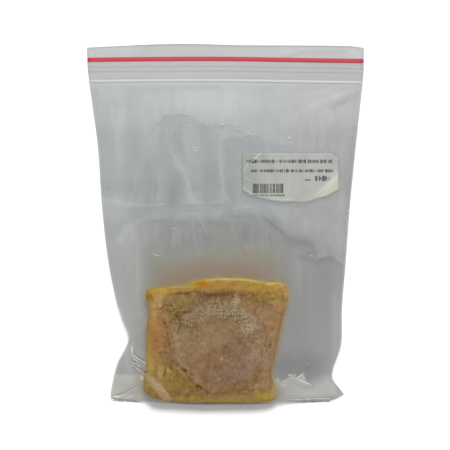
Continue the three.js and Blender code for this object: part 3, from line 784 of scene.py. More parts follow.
# Where the film changes: the crinkled foot of the flat part below the zip, the end of the slope that runs
# down from the fish like a tent, and the top of the gathered right corner.
CRINKLE_LINE = [
    (-89.4, 176), (-75, 177.4), (-62, 176.8), (-49, 179.2), (-42.6, 183), (-37.4, 187.2), (-30.9, 188.4),
    (-23.1, 187.8), (-16.6, 183), (-8.8, 180.7), (1.6, 182.7), (9.4, 179.4), (14.6, 175.5), (23.7, 176.2),
    (41.9, 177.5), (74.4, 176.8), (86.1, 179.4),
]
TENT_LINE = [
    (-79.6, 100.1), (-71.8, 106.6), (-65.3, 114.4), (-55.6, 119.6), (-39.3, 121.5), (-16.6, 120.9),
    (2.9, 122.9), (23.7, 123.5), (32.2, 119.6), (41.9, 109.2), (56.2, 107.3), (60.1, 94.9), (67.9, 97.5),
    (79, 88.4),
]
FOOT_LINE = [
    (27.6, 16.3), (32.8, 17.6), (36.1, 15.6), (40, 17.6), (43.2, 19.5), (46.5, 17.6), (50.4, 20.8),
    (52.3, 15.6), (55.6, 13), (60.1, 15.6), (64.7, 18.2), (70.5, 18.9),
]
FOLDS = [
    # Each fold is its course, its half width, its height and how much lighter it shows: painted highlight
    # along the fold, painted shade where negative.
    ([(-35.4, 163.8), (-32.2, 156.7), (-27, 148.2), (-23.1, 139.1), (-19.8, 130.7)], 2.4, 0.45, 9),
    ([(-4.2, 165.1), (-2.9, 155.3), (-2.3, 146.9), (-1, 139.1), (2.3, 132)], 1.7, 0.3, 8),
    ([(-58.8, 148.2), (-59.5, 140.4), (-61.4, 132.6), (-63.4, 128.7)], 1.2, 0.4, 7),
    ([(-43.9, 148.2), (-44.5, 139.1), (-45.2, 130.7)], 0.9, 0.3, 6),
    ([(-79.6, 133.3), (-68.6, 130.7), (-55.6, 129.3), (-39.3, 130)], 1.2, 0.5, 9),
    ([(-39.3, 130), (-16.6, 130), (6.2, 130), (15.9, 128.7)], 1, 0.4, 3),
    ([(2.3, 122.2), (4.9, 114.4), (8.1, 104.7), (11.4, 95.5)], 2, 0.4, 10),
    ([(-21.1, 120.3), (-19.8, 107.9), (-18.5, 100.1)], 2, 0.5, 8),
    ([(-16.6, 118.3), (-12.7, 111.2)], 0.9, 0.3, 8), ([(-34.1, 118.3), (-35.4, 103.4)], 1.6, 0.4, 5),
    ([(47.1, 189.2), (60.1, 195), (74.4, 200.2), (90, 206.1)], 4, 0.9, 7),
    ([(71.2, 192.4), (80.9, 198.3), (88.7, 202.8)], 2.6, -0.4, -8),
    ([(-50.4, 154.1), (-51, 130.7)], 3.2, -0.4, -9), ([(-45.8, 143.7), (-45.8, 130.7)], 1.4, -0.3, -8),
    ([(-30.2, 148.2), (-32.8, 139.1), (-35.4, 130.7)], 4, -0.5, -12),
    ([(-12.7, 155.3), (-13.3, 130.7)], 2.4, -0.2, -5), ([(-7.5, 155.3), (-6.8, 130.7)], 2.6, -0.3, -8),
    ([(-30.9, 181.3), (-30.9, 175.5)], 3, -0.3, -7), ([(-30.9, 169), (-30.9, 164.5)], 3.2, -0.3, -10),
    ([(-69.9, 105.3), (-66.6, 111.8), (-60.8, 117), (-52.3, 120.3), (-39.3, 121.5)], 1.8, 0.5, 6),
    ([(25.7, 122.2), (33.5, 116.4), (41.9, 108.5), (56.2, 107.3)], 1.6, 0.6, 4),
    ([(26.3, 120.3), (34.1, 113.8), (42.6, 106), (52.3, 104.7)], 2.2, -0.5, -9),
    ([(47.1, 96.2), (53.6, 94.3), (60.1, 91.7)], 1.4, -0.3, -7),
    ([(60.1, 94.9), (67.9, 97.5), (75.7, 92.3), (78.3, 87.1)], 1.4, 0.5, 5),
    ([(61.4, 92.3), (68.6, 94.3), (75.1, 89)], 2, -0.4, -7), ([(48.4, 92.3), (47.8, 67.6)], 2.2, 0.3, 5),
    ([(55.6, 88.4), (56.2, 68.9)], 1.6, 0.3, 4), ([(43.9, 38.4), (48.4, 24.7)], 1.8, 0.3, 4),
    ([(71.2, 70.2), (71.2, 35.1), (68.6, 23.4)], 2.2, 0.4, 8),
    ([(-60.1, 39.6), (-60.8, 32.5)], 0.8, 0.4, 12), ([(-63.4, 33.8), (-64.7, 24.7)], 1.2, 0.4, 6),
    ([(-57.5, 106.6), (-57.5, 92.3), (-56.9, 77.4), (-53.6, 48.1)], 1.4, 0.4, 5),
    ([(27, 115.7), (27.6, 100.1), (28.9, 83.9)], 1.4, 0.4, 5),
]
FIELDS = [
    # Soft fields of painted light and shade on the slack film:
    # x, up, half width, half height, how much lighter.
    (-12, 197, 24, 10, 7), (0, 188, 9, 6, 6), (-76, 150, 16, 30, 8), (-74, 128, 14, 10, 12),
    (62, 122, 22, 9, 8), (72, 108, 10, 8, 8), (15, 112, 20, 12, -4), (-40, 113, 14, 8, 4),
    (-73, 112, 13, 12, 12), (46, 24, 16, 10, -18), (62, 26, 14, 8, -6), (74, 75, 5, 60, 10),
    (77, 150, 4, 32, 8), (-70, 197, 22, 16, -3), (-45, 147, 18, 9, 3), (46, 166, 34, 12, 5),
    (45, 128, 34, 9, 3), (0, 178, 60, 5, 4), (54, 92, 13, 9, 4), (1, 106, 22, 12, -8),
    (58, 192, 26, 10, -3), (-14, 170, 6, 12, -4), (-68, 178, 14, 8, 3), (-30, 99, 12, 6, -3),
    (12, 99, 8, 6, -3), (-30, 132, 16, 3, -3), (-14, 178, 7, 4, -4), (-65, 157, 14, 22, 3),
    (5, 146, 6, 14, 5), (-41, 92, 8, 18, 5), (-58, 14, 10, 6, 4), (73, 6, 5, 4, -18),
]
SOFT_LINES = [
    # Each soft line of painted light in the film, painted shade where negative, is its course, its half width
    # and how much lighter it shows.
    ([(-73.1, 4.9), (-66, 8), (-58.2, 13)], 1.5, -6), ([(-73, 5), (-68, 5.2), (-60, 6)], 1.3, 16),
    ([(-76, 3), (-65, 2.6), (-50, 1.6)], 1.1, -12), ([(-60, 25), (-48, 21)], 4.2, 8),
    ([(40.6, 3), (55, 3.2), (70, 4.4)], 1.2, -14), ([(42, 7), (50, 7), (58, 7.6)], 3.6, 7),
    ([(72.5, 6), (75, 12), (77, 20)], 1, -7), ([(-60.8, 37.4), (-60.6, 34)], 0.5, 26),
    ([(-57.6, 75), (-56.4, 56), (-54.4, 41)], 1.4, 5),
    ([(-82, 131.5), (-62, 128.2), (-40, 128), (-16, 128.5)], 2.4, 5), ([(-16, 128.5), (16, 127.6)], 2, 5),
    ([(-33.5, 176), (-33.5, 132)], 5, -5), ([(-11, 176), (-9, 132)], 4, -3),
    ([(-32, 157), (-27, 146), (-22.6, 134)], 3.4, 6), ([(-4, 157), (-2, 142), (0.6, 133)], 2.2, 4),
]
LIP_FOLD = [(37.4, 224.6), (43.2, 226.5), (48.4, 228.2), (77.7, 228.6)]
# How light each part of the film shows, by its height above the fold or as one level: its own tone with the
# light and shade of how it lies painted in, lighter towards the zip and darker on the slope from the fish.
MIDDLE_LEVEL = [(118, 162), (131, 164), (140, 159), (150, 164), (165, 165), (178, 166)]
POUCH_LEVEL = [(176, 172), (186, 181), (194, 185), (208, 184)]
TENT_LEVEL = [(0, 156), (60, 155), (95, 145), (105, 140), (116, 143), (122, 149)]
PANEL_LEVEL = 174.0
EAR_LEVEL = 170.0
EAR_FOOT_LEVEL = 198.0
FOOT_LEVEL = 189.0
BACK_LEVEL = [(0, 160), (100, 152), (125, 166), (190, 184), (210, 190), (234, 194)]
BACK_TINT = (0.97, 1.0, 0.985)
# How much of the two warm tones shows, by the distance above the fish's top edge: the fish's colour reflected
# in the film above it, painted on.
OLIVE_ABOVE = [(-1, 1), (12, 1), (18, 0.75), (23, 0.3), (28, 0)]
OLIVE_TONE = (144, 143, 129)
BROWN_ABOVE = [(-1, 1), (4, 1), (7, 0.9), (10, 0.65), (14, 0.3), (19, 0)]
BROWN_TONE = (144, 125, 103)
RIM_TONE = (172, 142, 88)
STRIP_TONE = (186, 164, 134)
SIDE_TONE = (162, 154, 140)
FOOT_SHADOW_TONE = (58, 40, 16)
SIDE_RIM_TONE = (192, 166, 122)
FOOT_SHADOW = [
    (-46, 0), (-40, 0.5), (-30, 0.9), (-20, 0.9), (-10, 0.6), (0, 0.6), (6, 1), (20, 1), (25, 0.5), (29, 0),
]
# Light from the table comes through the film, and the rest of what shows is a share of the film's own colour.
FLOOR_THROUGH = 0.092
FILM_SHARE = 0.915


def crossing(points, triangles, level, fixed, free):
    """Lowest and highest place along one axis where a solid's edges cross a level of another."""
    starts = points[triangles.ravel()]
    stops = points[np.roll(triangles, -1, axis=1).ravel()]
    before, after = starts[:, fixed] - level, stops[:, fixed] - level
    cut = before * after < 0
    part = before[cut] / (before[cut] - after[cut])
    place = starts[cut, free] + part * (stops[cut, free] - starts[cut, free])
    return place.min(), place.max()


label_points, label_triangles, label_tree = read_solid("label")
# The outline of the sheets, taken from the bag's solid.
levels = np.linspace(0.3, BAG_LENGTH - 3.5, OUTLINE_LEVELS)
left, right = np.array([crossing(bag_points, bag_triangles, level, 1, 0) for level in levels]).T
# Below its widest level near the fold, the sheets' outline stays that wide.
for side, corner in ((left, np.argmin(left[:CORNER_LEVELS])), (right, np.argmax(right[:CORNER_LEVELS]))):
    side[:corner] = side[corner]
foot_stations = np.linspace(left[0] + 0.2, right[0] - 0.2, OUTLINE_STATIONS)
mouth_stations = np.linspace(left[-1] + 0.1, right[-1] - 0.1, OUTLINE_STATIONS)
foot = np.array([crossing(bag_points, bag_triangles, place, 0, 1)[0] for place in foot_stations])
mouth = np.array([crossing(bag_points, bag_triangles, place, 0, 1)[1] for place in mouth_stations])

# The rows lie closer together near the fold, where the film's folds are finest.
row_share = np.linspace(0, 1, FILM_ROWS + 1)[:, None]
row_share = 0.8 * row_share + 0.2 * row_share**2
column_share = np.linspace(0, 1, FILM_COLUMNS + 1)[None, :]
x = (left[0] + (right[0] - left[0]) * column_share) * np.ones_like(row_share)
for _ in range(6):
    low, high = np.interp(x, foot_stations, foot), np.interp(x, mouth_stations, mouth)
    up = low + (high - low) * row_share
    low_x, high_x = np.interp(up, levels, left), np.interp(up, levels, right)
    x = low_x + (high_x - low_x) * column_share
edge = np.minimum(np.minimum(x - low_x, high_x - x), up - low)

# The height of the front sheet: the solid's, with the fish's relief, the folds and room for the label.
solid_top = surface_height(bag_tree, x, up, inset=SEAM_INSET)
z = np.where(edge < 3, solid_top, blurred(solid_top, FORM_BLUR))
fish_tree = BVHTree.FromPolygons([Vector(point) for point in fish_points], fish_faces)
outside = from_fish(x, up)
clinging = 1 - smoothstep(-0.9, 0.5, outside)
zip_zone = smoothstep(ZIP_FOOT - 5, ZIP_FOOT, up)
from_label = np.maximum.reduce([LABEL_LEFT - x, x - LABEL_RIGHT, LABEL_FOOT - up, up - LABEL_TOP])
slack = (1 - zip_zone) * smoothstep(0.5, 5, from_label) * (1 - clinging) * smoothstep(0.5, 5, edge)

z += (blurred(fish_relief(x, up), 1.4) - 0.5) * clinging
z += (0.35 * rough(x, up * 0.2, 8, 61) + 0.2 * rough(x, up * 0.3, 3.6, 62)) * slack * smoothstep(84, 110, up)
z += 0.12 * rough(x, up, 6, 63) * slack
for points, width, height, lighter in FOLDS:
    z += height * near_line(x, up, points, width) * slack
fish_top = surface_height(fish_tree, x, up, missed=-1.0)
over_fish = blurred(fish_top, 0.7) + 0.15 + 0.5 * frost_cover(x, up)
z = np.where(outside < -0.5, np.maximum(z, over_fish), z)
under_label = from_label < 0.4
label_foot = surface_height(label_tree, x, up, missed=-1.0) - PAPER - PAPER_GAP
under_label &= label_foot > 0
z += blurred(np.where(under_label, np.maximum(label_foot - z, 0), 0), 1.6)
z = np.where(under_label, np.minimum(z, label_foot), z)
# Painted light on the film just outside the label's lower part, against the shade the film lies in there.
painted_light_by_label = smoothstep(0, 0.45, blurred(under_label.astype(float), 2.2)) * ~under_label
painted_light_by_label *= 1 - smoothstep(LABEL_FOOT + 6, LABEL_FOOT + 16, up)

# How light the front sheet shows, part by part, with its light and shade painted in.
jagged = smoothstep(27, 31, x) * (1 - smoothstep(50, 53, x))
foot_softness = 2.8 - 1.9 * jagged + 3.2 * smoothstep(53, 58, x)
right_foot = (1 - smoothstep(-1, 1, (up - along(FOOT_LINE, x)) / foot_softness)) * smoothstep(25, 31, x)
left_ear = smoothstep(-50, -56, x) * smoothstep(40, 34, up)
ear_foot = smoothstep(-49, -54, x) * (1 - smoothstep(18.4, 20.8, up))
tent_softness = 1 + 3 * smoothstep(-48, -60, x)
past_tent = (up - np.interp(x, *zip(*TENT_LINE)) + 1.0 * rough(x, up, 6, 64)) / tent_softness
under_tent = 1 - smoothstep(-1.2, 1.5, past_tent)
crisp = smoothstep(-50, -41, x) * (1 - smoothstep(21, 31, x))
crinkle_width = 7.0 - 5.6 * crisp
past_crinkle = (up - np.interp(x, *zip(*CRINKLE_LINE)) - 0.9 * rough(x, up, 4, 65)) / crinkle_width
shown = along(MIDDLE_LEVEL, up)
shown += (along(POUCH_LEVEL, up) - shown) * smoothstep(-0.4, 0.9, past_crinkle)
tent = along(TENT_LEVEL, up) + (PANEL_LEVEL - along(TENT_LEVEL, up)) * smoothstep(-42, -62, x)
shown += (tent - shown) * under_tent
for cx, cup, wide, tall, lighter in FIELDS:
    shown += lighter * oval(x, up, (cx, cup), (wide, tall), 1.5)
shown += (EAR_LEVEL + 5 * smoothstep(-70, -60, x) - shown) * left_ear
shown += (EAR_FOOT_LEVEL + 3 * rough(x, up * 0.6, 9, 70) - shown) * ear_foot
shown += (FOOT_LEVEL + 5 * rough(x, up, 7, 71) - shown) * right_foot
for points, width, height, lighter in FOLDS:
    shown += lighter * near_line(x, up, points, width)
for points, width, lighter in SOFT_LINES:
    shown += lighter * near_line(x, up, points, width)
shown += 2.0 * rough(x, up * 0.25, 7, 66) + 1.3 * rough(x, up * 0.5, 3, 67) + 1.6 * rough(x, up, 16, 68)
# The zip's tone, with a pale band under the foot bead, partly painted light against the bead's shade, and
# painted shade along the fold of the lip.
lip = smoothstep(222, 226, up)
zip_tone = 188 - 4 * smoothstep(-60, 60, x) + lip * (2 + 10 * smoothstep(-40, 60, x))
lip_left = lip * smoothstep(-48, -66, x) * (6 + 6 * smoothstep(229, 232, up))
zip_tone += lip_left + 15 * bell(up - 208.7, 1.5)
zip_tone += 1.6 * rough(x, up * 0.1, 14, 69) - 12 * near_line(x, up, LIP_FOLD, 1.7)
shown += (zip_tone - shown) * zip_zone
# Painted light just outside the label; the sheet also shows a little darker just inside its edges.
shown += 27 * painted_light_by_label - 5 * bell(edge - 2.0, 0.7) * (1 - zip_zone)

# Its colours, and the haze: how much each place hides what lies under it.
right_side = smoothstep(30, 45, x)
red_off = -4.8 + 2.8 * right_side
red_off += (-1.5 + 1.3 * right_side - red_off) * under_tent
red_off += (-3 - red_off) * zip_zone
red_off += (1.2 - red_off) * right_foot + (0.3 - red_off) * ear_foot
blue_off = -0.2 - 2.3 * under_tent * (1 - right_side) - 0.8 * zip_zone
blue_off -= 3.5 * right_foot + 3.5 * ear_foot + 2 * left_ear
tones = np.stack([shown + red_off, shown, shown + blue_off], -1)
above_fish = up - along(FISH_TOP, x)
uneven_above = np.maximum(above_fish, -1) * (1 + 0.25 * rough(x, up, 11, 72))
olive = along(OLIVE_ABOVE, uneven_above) * smoothstep(-58, -42, x) * (1 - smoothstep(30, 46, x))
brown = along(BROWN_ABOVE, uneven_above) * smoothstep(-54, -34, x) * (1 - smoothstep(16, 42, x))
# Painted light on the film along the fish's outline and beside its sides, where the film turns down into
# shade; warm with the fish's colour.
rim_glow = 0.75 * bell(np.maximum(outside + 0.4, 0), 1.5)
side_glow = 0.6 * bell(np.maximum(outside, 0), 4.2) * (above_fish < 0) * (1 - clinging)
strip = near_line(x, up, FILM_STRIP, 2.2)
# A painted shadow under the fish's foot: the film's lowest edge there is made dark and nearly opaque.
foot_shadow = bell(edge, 1.0 + 0.25 * smoothstep(8, 18, x)) * along(FOOT_SHADOW, x) * (up < 8)
for cover, tone in (
    (olive * (above_fish > -6), OLIVE_TONE),
    (brown * (above_fish > -6), BROWN_TONE),
    (side_glow, SIDE_TONE),
    (rim_glow, RIM_TONE),
    (rim_glow * smoothstep(-1, -6, above_fish), SIDE_RIM_TONE),
    (strip * clinging, STRIP_TONE),
):
    tones = blend(tones, tone, cover)
colours = np.clip((linear(tones) - FLOOR_THROUGH) / FILM_SHARE, 0.02, 0.95)
colours = blend(colours, linear(np.array(FOOT_SHADOW_TONE)), foot_shadow)
haze = 0.5 - 0.455 * clinging + 0.08 * strip * clinging + 0.05 * (right_foot + ear_foot)
haze *= 0.6 + 0.4 * smoothstep(0, 1.6, edge)
haze += (0.95 - haze) * foot_shadow

# The front sheet and a coarser back sheet, joined along their rim.
front_points = np.stack([x, up, np.maximum(z, FILM_LOWEST)], -1)
rim_rows = [(0, slice(None)), (-1, slice(None)), (slice(None), 0), (slice(None), -1)]
for place in rim_rows:
    lift = surface_height(bag_tree, x[place], up[place], False, SEAM_INSET, 0.0)
    front_points[place + (2,)] = np.maximum(lift, 0) + FILM_LOWEST
front_count = front_points.shape[0] * front_points.shape[1]
back_x, back_up = x[::BACK_STEP, ::BACK_STEP], up[::BACK_STEP, ::BACK_STEP]
back_z = np.maximum(surface_height(bag_tree, back_x, back_up, False, SEAM_INSET, 0.0), 0) + BACK_CLEARANCE
back_rows, back_columns = back_x.shape
film_points = np.vstack([front_points.reshape(-1, 3), np.stack([back_x, back_up, back_z], -1).reshape(-1, 3)])


def back_side(j, i, next_j, next_i):
    """Points from one corner of a cell of the back sheet up to the next; along a rim, the front's own."""
    along_rim = (j == next_j and j in (0, back_rows - 1)) or (i == next_i and i in (0, back_columns - 1))
    on_rim = j in (0, back_rows - 1) or i in (0, back_columns - 1)
    if not on_rim:
        return [front_count + j * back_columns + i]
    steps = BACK_STEP if along_rim else 1
    rows_at = [j * BACK_STEP + (next_j - j) * k for k in range(steps)]
    columns_at = [i * BACK_STEP + (next_i - i) * k for k in range(steps)]
    return [row * (FILM_COLUMNS + 1) + column for row, column in zip(rows_at, columns_at)]


film_faces = grid_faces(FILM_ROWS, FILM_COLUMNS)
for j in range(back_rows - 1):
    for i in range(back_columns - 1):
        cell = [(j, i), (j + 1, i), (j + 1, i + 1), (j, i + 1)]
        turns = zip(cell, cell[1:] + cell[:1])
        film_faces.append(tuple(point for here, there in turns for point in back_side(*here, *there)))
film = make_mesh("bag_film", film_points, film_faces)

under_fish = 1 - smoothstep(-6, -1, from_fish(back_x, back_up))
back_shown = np.interp(back_up, *zip(*BACK_LEVEL))
back_level = (linear(back_shown) - FLOOR_THROUGH) / FILM_SHARE
back_colours = back_level[..., None] * np.array(BACK_TINT)
add_colours(film, "shade", np.vstack([colours.reshape(-1, 3), back_colours.reshape(-1, 3)]))
add_values(film, "haze", np.append(haze.ravel(), (0.45 - 0.33 * under_fish).ravel()))

polythene = Finish("clear_polythene")
fine = polythene.noise(3.5, 3.0, (1, 0.6, 1))
shade = polythene.node("ShaderNodeAttribute", attribute_name="shade").outputs["Color"]
shade = polythene.mix(shade, (1, 1, 1, 1), polythene.sum("MULTIPLY", polythene.spread(fine, 0.55, 0.9), 0.03))
veil = polythene.sum("MULTIPLY", polythene.mark("haze"), polythene.sum("MULTIPLY_ADD", fine, 0.05, 0.975))
sheet = polythene.node("ShaderNodeBsdfPrincipled", {
    "Base Color": shade, "Roughness": 0.42, "Specular IOR Level": 0.22,
    "Normal": polythene.bump(fine, 0.1, 0.2),
})
clear = polythene.node("ShaderNodeBsdfTransparent")
veiled = polythene.node("ShaderNodeMixShader", {0: veil, 1: clear.outputs[0], 2: sheet.outputs[0]})
film.data.materials.append(polythene.finish(veiled.outputs[0]))
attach(film, "root")
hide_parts("bag")

# The sharp creases in the film.
# Fine pinched ridges where the polythene was bent hard: a fan of them beside the fish's lower left corner,
# a jagged run at the right foot, and short glints along the pouch.
# Their colours are painted: the light ones are glints, the dark ones the shade beside the ridges.
CREASE_STEP = 0.5
CREASE_LIFT = 0.06
CREASE_SIDES, CREASE_FLATNESS = 6, 0.45
CREASES = [
    # Each crease is its course, its half width and how light it is, from 0 to 1: a painted glint near 1,
    # painted shade near 0.
    ([(-41.2, 186.2), (-38.7, 187.8), (-36.4, 188.4)], 0.36, 0.6),
    ([(-28.2, 188.3), (-26, 188.4), (-23.6, 187.4)], 0.36, 0.7), ([(-21.4, 189.2), (-19.6, 188)], 0.3, 0.6),
    ([(-3.6, 181.2), (-1, 182.1), (1.6, 183.4)], 0.5, 0.85), ([(-24.4, 181.3), (-23.1, 180.1)], 0.5, 0.9),
    ([(5.2, 178.2), (7.5, 179), (10.4, 178.4)], 0.3, 0.6), ([(15.6, 178.6), (19, 177.9)], 0.3, 0.6),
    ([(-20.6, 166.8), (-18.5, 167.1), (-17, 166.5)], 0.3, 0.65),
    ([(-20.5, 165.1), (-17.2, 164.8)], 0.3, 0.8), ([(-47.2, 97.6), (-42.8, 96.6)], 0.25, 0.7),
    ([(-36.1, 113.8), (-32.2, 114.7)], 0.3, 0.7), ([(-67, 193.4), (-60.1, 194), (-49, 193.4)], 0.18, 0.6),
    ([(-6.8, 172.9), (4.2, 173.2)], 0.15, 0.6), ([(40, 172.3), (42.6, 173.6)], 0.4, 0.75),
    ([(77.6, 121.9), (78.8, 122.4), (80, 123)], 0.42, 0.75),
    ([(54.6, 96.4), (55.8, 96.7), (56.9, 95.9)], 0.35, 0.8), ([(51.4, 26.2), (55, 26.9)], 0.32, 0.45),
    ([(-73.1, 4.9), (-70, 5), (-66, 5.9)], 1, 1),
    ([(-67.3, 6.2), (-63.4, 7.8), (-58.2, 11.4), (-54.9, 13.7)], 0.5, 0.8),
    ([(-71.8, 4.2), (-63.4, 4.2), (-59.5, 5.2)], 0.5, 0.8),
    ([(-60.1, 30.6), (-58.2, 28.9), (-56.2, 27.6)], 0.5, 0.9),
    ([(-59.5, 27.9), (-56.9, 26), (-54.3, 24.1)], 0.5, 0.9),
    ([(-55.4, 29.7), (-53.4, 28.2), (-51.6, 26.6)], 0.5, 0.85),
    ([(-57, 24.4), (-54.6, 22.6), (-52.8, 21.6)], 0.45, 0.8),
    ([(-59.8, 26), (-57.6, 23.6), (-56.2, 22)], 0.4, 0.75), ([(-54.9, 18.2), (-53.6, 16.3)], 0.6, 1),
    ([(-60.6, 37.7), (-60.4, 33.8)], 0.5, 0.95), ([(32.8, 16.3), (34.8, 17.2)], 0.5, 0.9),
    ([(35.8, 13.6), (38.7, 12.7), (40.2, 12)], 0.42, 0.75),
    ([(40.6, 19.5), (43.9, 19.2), (45.8, 19.8)], 0.6, 0.9),
    ([(45.8, 17.2), (48.4, 18.9), (50.4, 20.5)], 0.5, 0.9),
    ([(47.1, 16.3), (51, 14.6), (55.9, 12.7)], 0.8, 0.95),
    ([(57, 13.9), (59.1, 15), (60.8, 15.6)], 0.3, 0.5), ([(41.6, 9.2), (44.8, 10.2)], 0.32, 0.55),
    ([(46.9, 7.3), (50.4, 8)], 0.3, 0.5), ([(40.6, 3.3), (54.9, 3.6), (67.9, 3.9)], 0.5, 0.8),
    ([(6.8, 177.5), (9.4, 177.1)], 0.45, 0.5), ([(11.4, 176.2), (14.6, 175.2), (17.2, 176.2)], 0.35, 0.55),
    ([(49.1, 98.8), (53, 97.5)], 0.35, 0.4), ([(-60.4, 32.6), (-57.4, 30.6), (-54.6, 29.2)], 0.4, 0.95),
    ([(-58.4, 22.4), (-55.2, 19.4), (-52.6, 17.6)], 0.45, 0.9), ([(-59.6, 34.8), (-57.8, 32.4)], 0.45, 0.1),
    ([(-55.2, 25.2), (-52.4, 22.6), (-50.4, 21.2)], 0.4, 0.05), ([(-59.8, 29.2), (-57.2, 27.2)], 0.55, 0),
    ([(-58.2, 26.3), (-54.9, 23.4), (-51.7, 21.1)], 0.55, 0),
    ([(-57.4, 32), (-54.6, 30.2), (-52.4, 28.9)], 0.55, 0),
    ([(-59, 24), (-56, 20.6), (-54.4, 18.8)], 0.5, 0.1),
    ([(-73.8, 5.5), (-67.3, 7.5), (-59.5, 11.4), (-55.6, 13.7)], 0.5, 0.4),
    ([(-73.8, 2.6), (-64.7, 2.3), (-55.6, 1.6)], 0.5, 0.35), ([(34.1, 15), (36.1, 16.6)], 0.5, 0.35),
    ([(40, 20.4), (43.9, 20.7), (46.5, 19.6)], 0.4, 0.35), ([(49.7, 20.8), (51, 19.8)], 0.6, 0.3),
    ([(51.7, 15.9), (55.6, 13.7)], 0.5, 0.35), ([(40.6, 4.5), (54.9, 4.9), (71.2, 5.5)], 0.35, 0.45),
    ([(45.8, 1.6), (67.9, 2)], 0.5, 0.35), ([(69.9, 15), (73.1, 10.4), (76.4, 7)], 0.4, 0.4),
]

film_tree = BVHTree.FromPolygons([Vector(point) for point in front_points.reshape(-1, 3)],
                                 grid_faces(FILM_ROWS, FILM_COLUMNS))


def course(points, step):
    """Places every step or so along a smooth curve through the points."""
    points = np.array(points, dtype=float)
    runs = np.append(0, np.cumsum(np.hypot(*np.diff(points, axis=0).T)))
    places = np.linspace(0, runs[-1], max(4, int(runs[-1] / step) + 1))
    return np.column_stack([along(list(zip(runs, points[:, k])), places) for k in (0, 1)])


def lay_lines(name, lines, lift, tapered=True):
    """An object of bare edges that follow courses laid on the film, with their half widths and lightness."""
    spots_at, links, widths, lights = [], [], [], []
    for places, width, light in lines:
        taper = np.ones(len(places))
        if tapered:
            taper = np.sqrt(np.sin(np.linspace(0.06, 0.94, len(places)) * math.pi))
            taper *= 0.7 + 0.5 * rough(places[:, 0], places[:, 1], 1.3, 91)
        heights = surface_height(film_tree, places[:, 0], places[:, 1], missed=0.8) + lift
        first = len(spots_at)
        spots_at += np.column_stack([places, heights]).tolist()
        links += [(first + k, first + k + 1) for k in range(len(places) - 1)]
        widths += (width * taper * MM).tolist()
        lights += [light] * len(places)
    mesh = bpy.data.meshes.new(name)
    mesh.from_pydata(((np.array(spots_at) + (0, FOLD_Y, 0)) * MM).tolist(), links, [])
    piece = bpy.data.objects.new(name, mesh)
    bpy.context.collection.objects.link(piece)
    add_values(piece, "half_width", widths)
    add_values(piece, "light", lights)
    return piece


def profile_shapes(name, sides, flatness):
    """A tree that gives bare edges a rounded section, as wide as their own half width asks."""
    shapes = Shapes(name, {"Material": "Material"})
    curves = shapes.node("GeometryNodeMeshToCurve", {"Mesh": shapes.given["Geometry"]})
    upright = shapes.node("GeometryNodeSetCurveNormal", {"Curve": curves.outputs[0]}, mode="Z_UP")
    circle = shapes.node("GeometryNodeCurvePrimitiveCircle", {"Resolution": sides, "Radius": 1.0})
    inputs = {"Geometry": circle.outputs[0], "Scale": (1.0, flatness, 1.0)}
    flat = shapes.node("GeometryNodeTransform", inputs)
    swept = shapes.node("GeometryNodeCurveToMesh", {
        "Curve": upright.outputs[0], "Profile Curve": flat.outputs[0], "Scale": shapes.marked("half_width"),
        "Fill Caps": True,
    })
    smooth = shapes.node("GeometryNodeSetShadeSmooth", {"Geometry": swept.outputs[0]})
    shapes.end(smooth.outputs[0])
    return shapes


pinched = Finish("pinched_polythene")
# The creases' painted colour, from shade at 0 to a glint at 1.
tone = pinched.mix(srgb(70, 68, 56), srgb(223, 224, 220), pinched.mark("light"))
surface = pinched.node("ShaderNodeBsdfPrincipled", {
    "Base Color": pinched.mix(tone, srgb(160, 160, 155), pinched.spread(pinched.noise(2.0), 0.4, 0.9)),
    "Roughness": 0.3, "Specular IOR Level": 0.5, "Alpha": 0.85,
})
pinched.finish(surface.outputs[0])

lines = [(course(points, CREASE_STEP), width, light) for points, width, light in CREASES]
ridges = profile_shapes("crease_ridge", CREASE_SIDES, CREASE_FLATNESS)
crease_lines = lay_lines("crease_lines", lines, CREASE_LIFT)
creases = grow("film_creases", crease_lines, ridges, {"Material": pinched.material})
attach(creases, "root")
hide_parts("bag")

# The zip.
# A red bead marks the closure. Below it run the two thin beads that press together and, at the foot of the
# zip, a whitish bead. All are extruded on the film and bow slightly with the mouth.
ZIP_BEADS = {
    # Each bead is its height above the fold, its half width and its lightness.
    "zip_red_line": (223.9, 1.32, 0.5),
    "zip_rib_1": (219.6, 0.4, 0.6),
    "zip_rib_2": (216.6, 0.4, 0.6),
    "zip_foot_rib": (210.1, 1.0, 0.85),
}
ZIP_BOW = [(-90, -0.2), (-45, 0.3), (0, 0.4), (45, -0.3), (90, -1)]
ZIP_END_GAP = 0.6
BEAD_STATIONS = 120
BEAD_LIFT = 0.1
BEAD_SIDES, BEAD_FLATNESS = 10, 0.36

red = Finish("red_zip_plastic")
surface = red.node("ShaderNodeBsdfPrincipled", {
    "Base Color": red.mix(srgb(182, 36, 52), srgb(180, 42, 68), red.spread(red.noise(18), 0.4, 0.7)),
    "Roughness": 0.5, "Specular IOR Level": 0.3, "Normal": red.bump(red.noise(2.5), 0.1, 0.4),
})
red.finish(surface.outputs[0])
milky = Finish("clear_zip_plastic")
surface = milky.node("ShaderNodeBsdfPrincipled", {
    "Base Color": milky.mix(srgb(168, 172, 168), srgb(206, 208, 205), milky.mark("light")),
    "Roughness": 0.45, "Specular IOR Level": 0.3, "Alpha": milky.sum("MULTIPLY", milky.mark("light"), 0.85),
    "Normal": milky.bump(milky.noise(3.0), 0.1, 0.4),
})
milky.finish(surface.outputs[0])

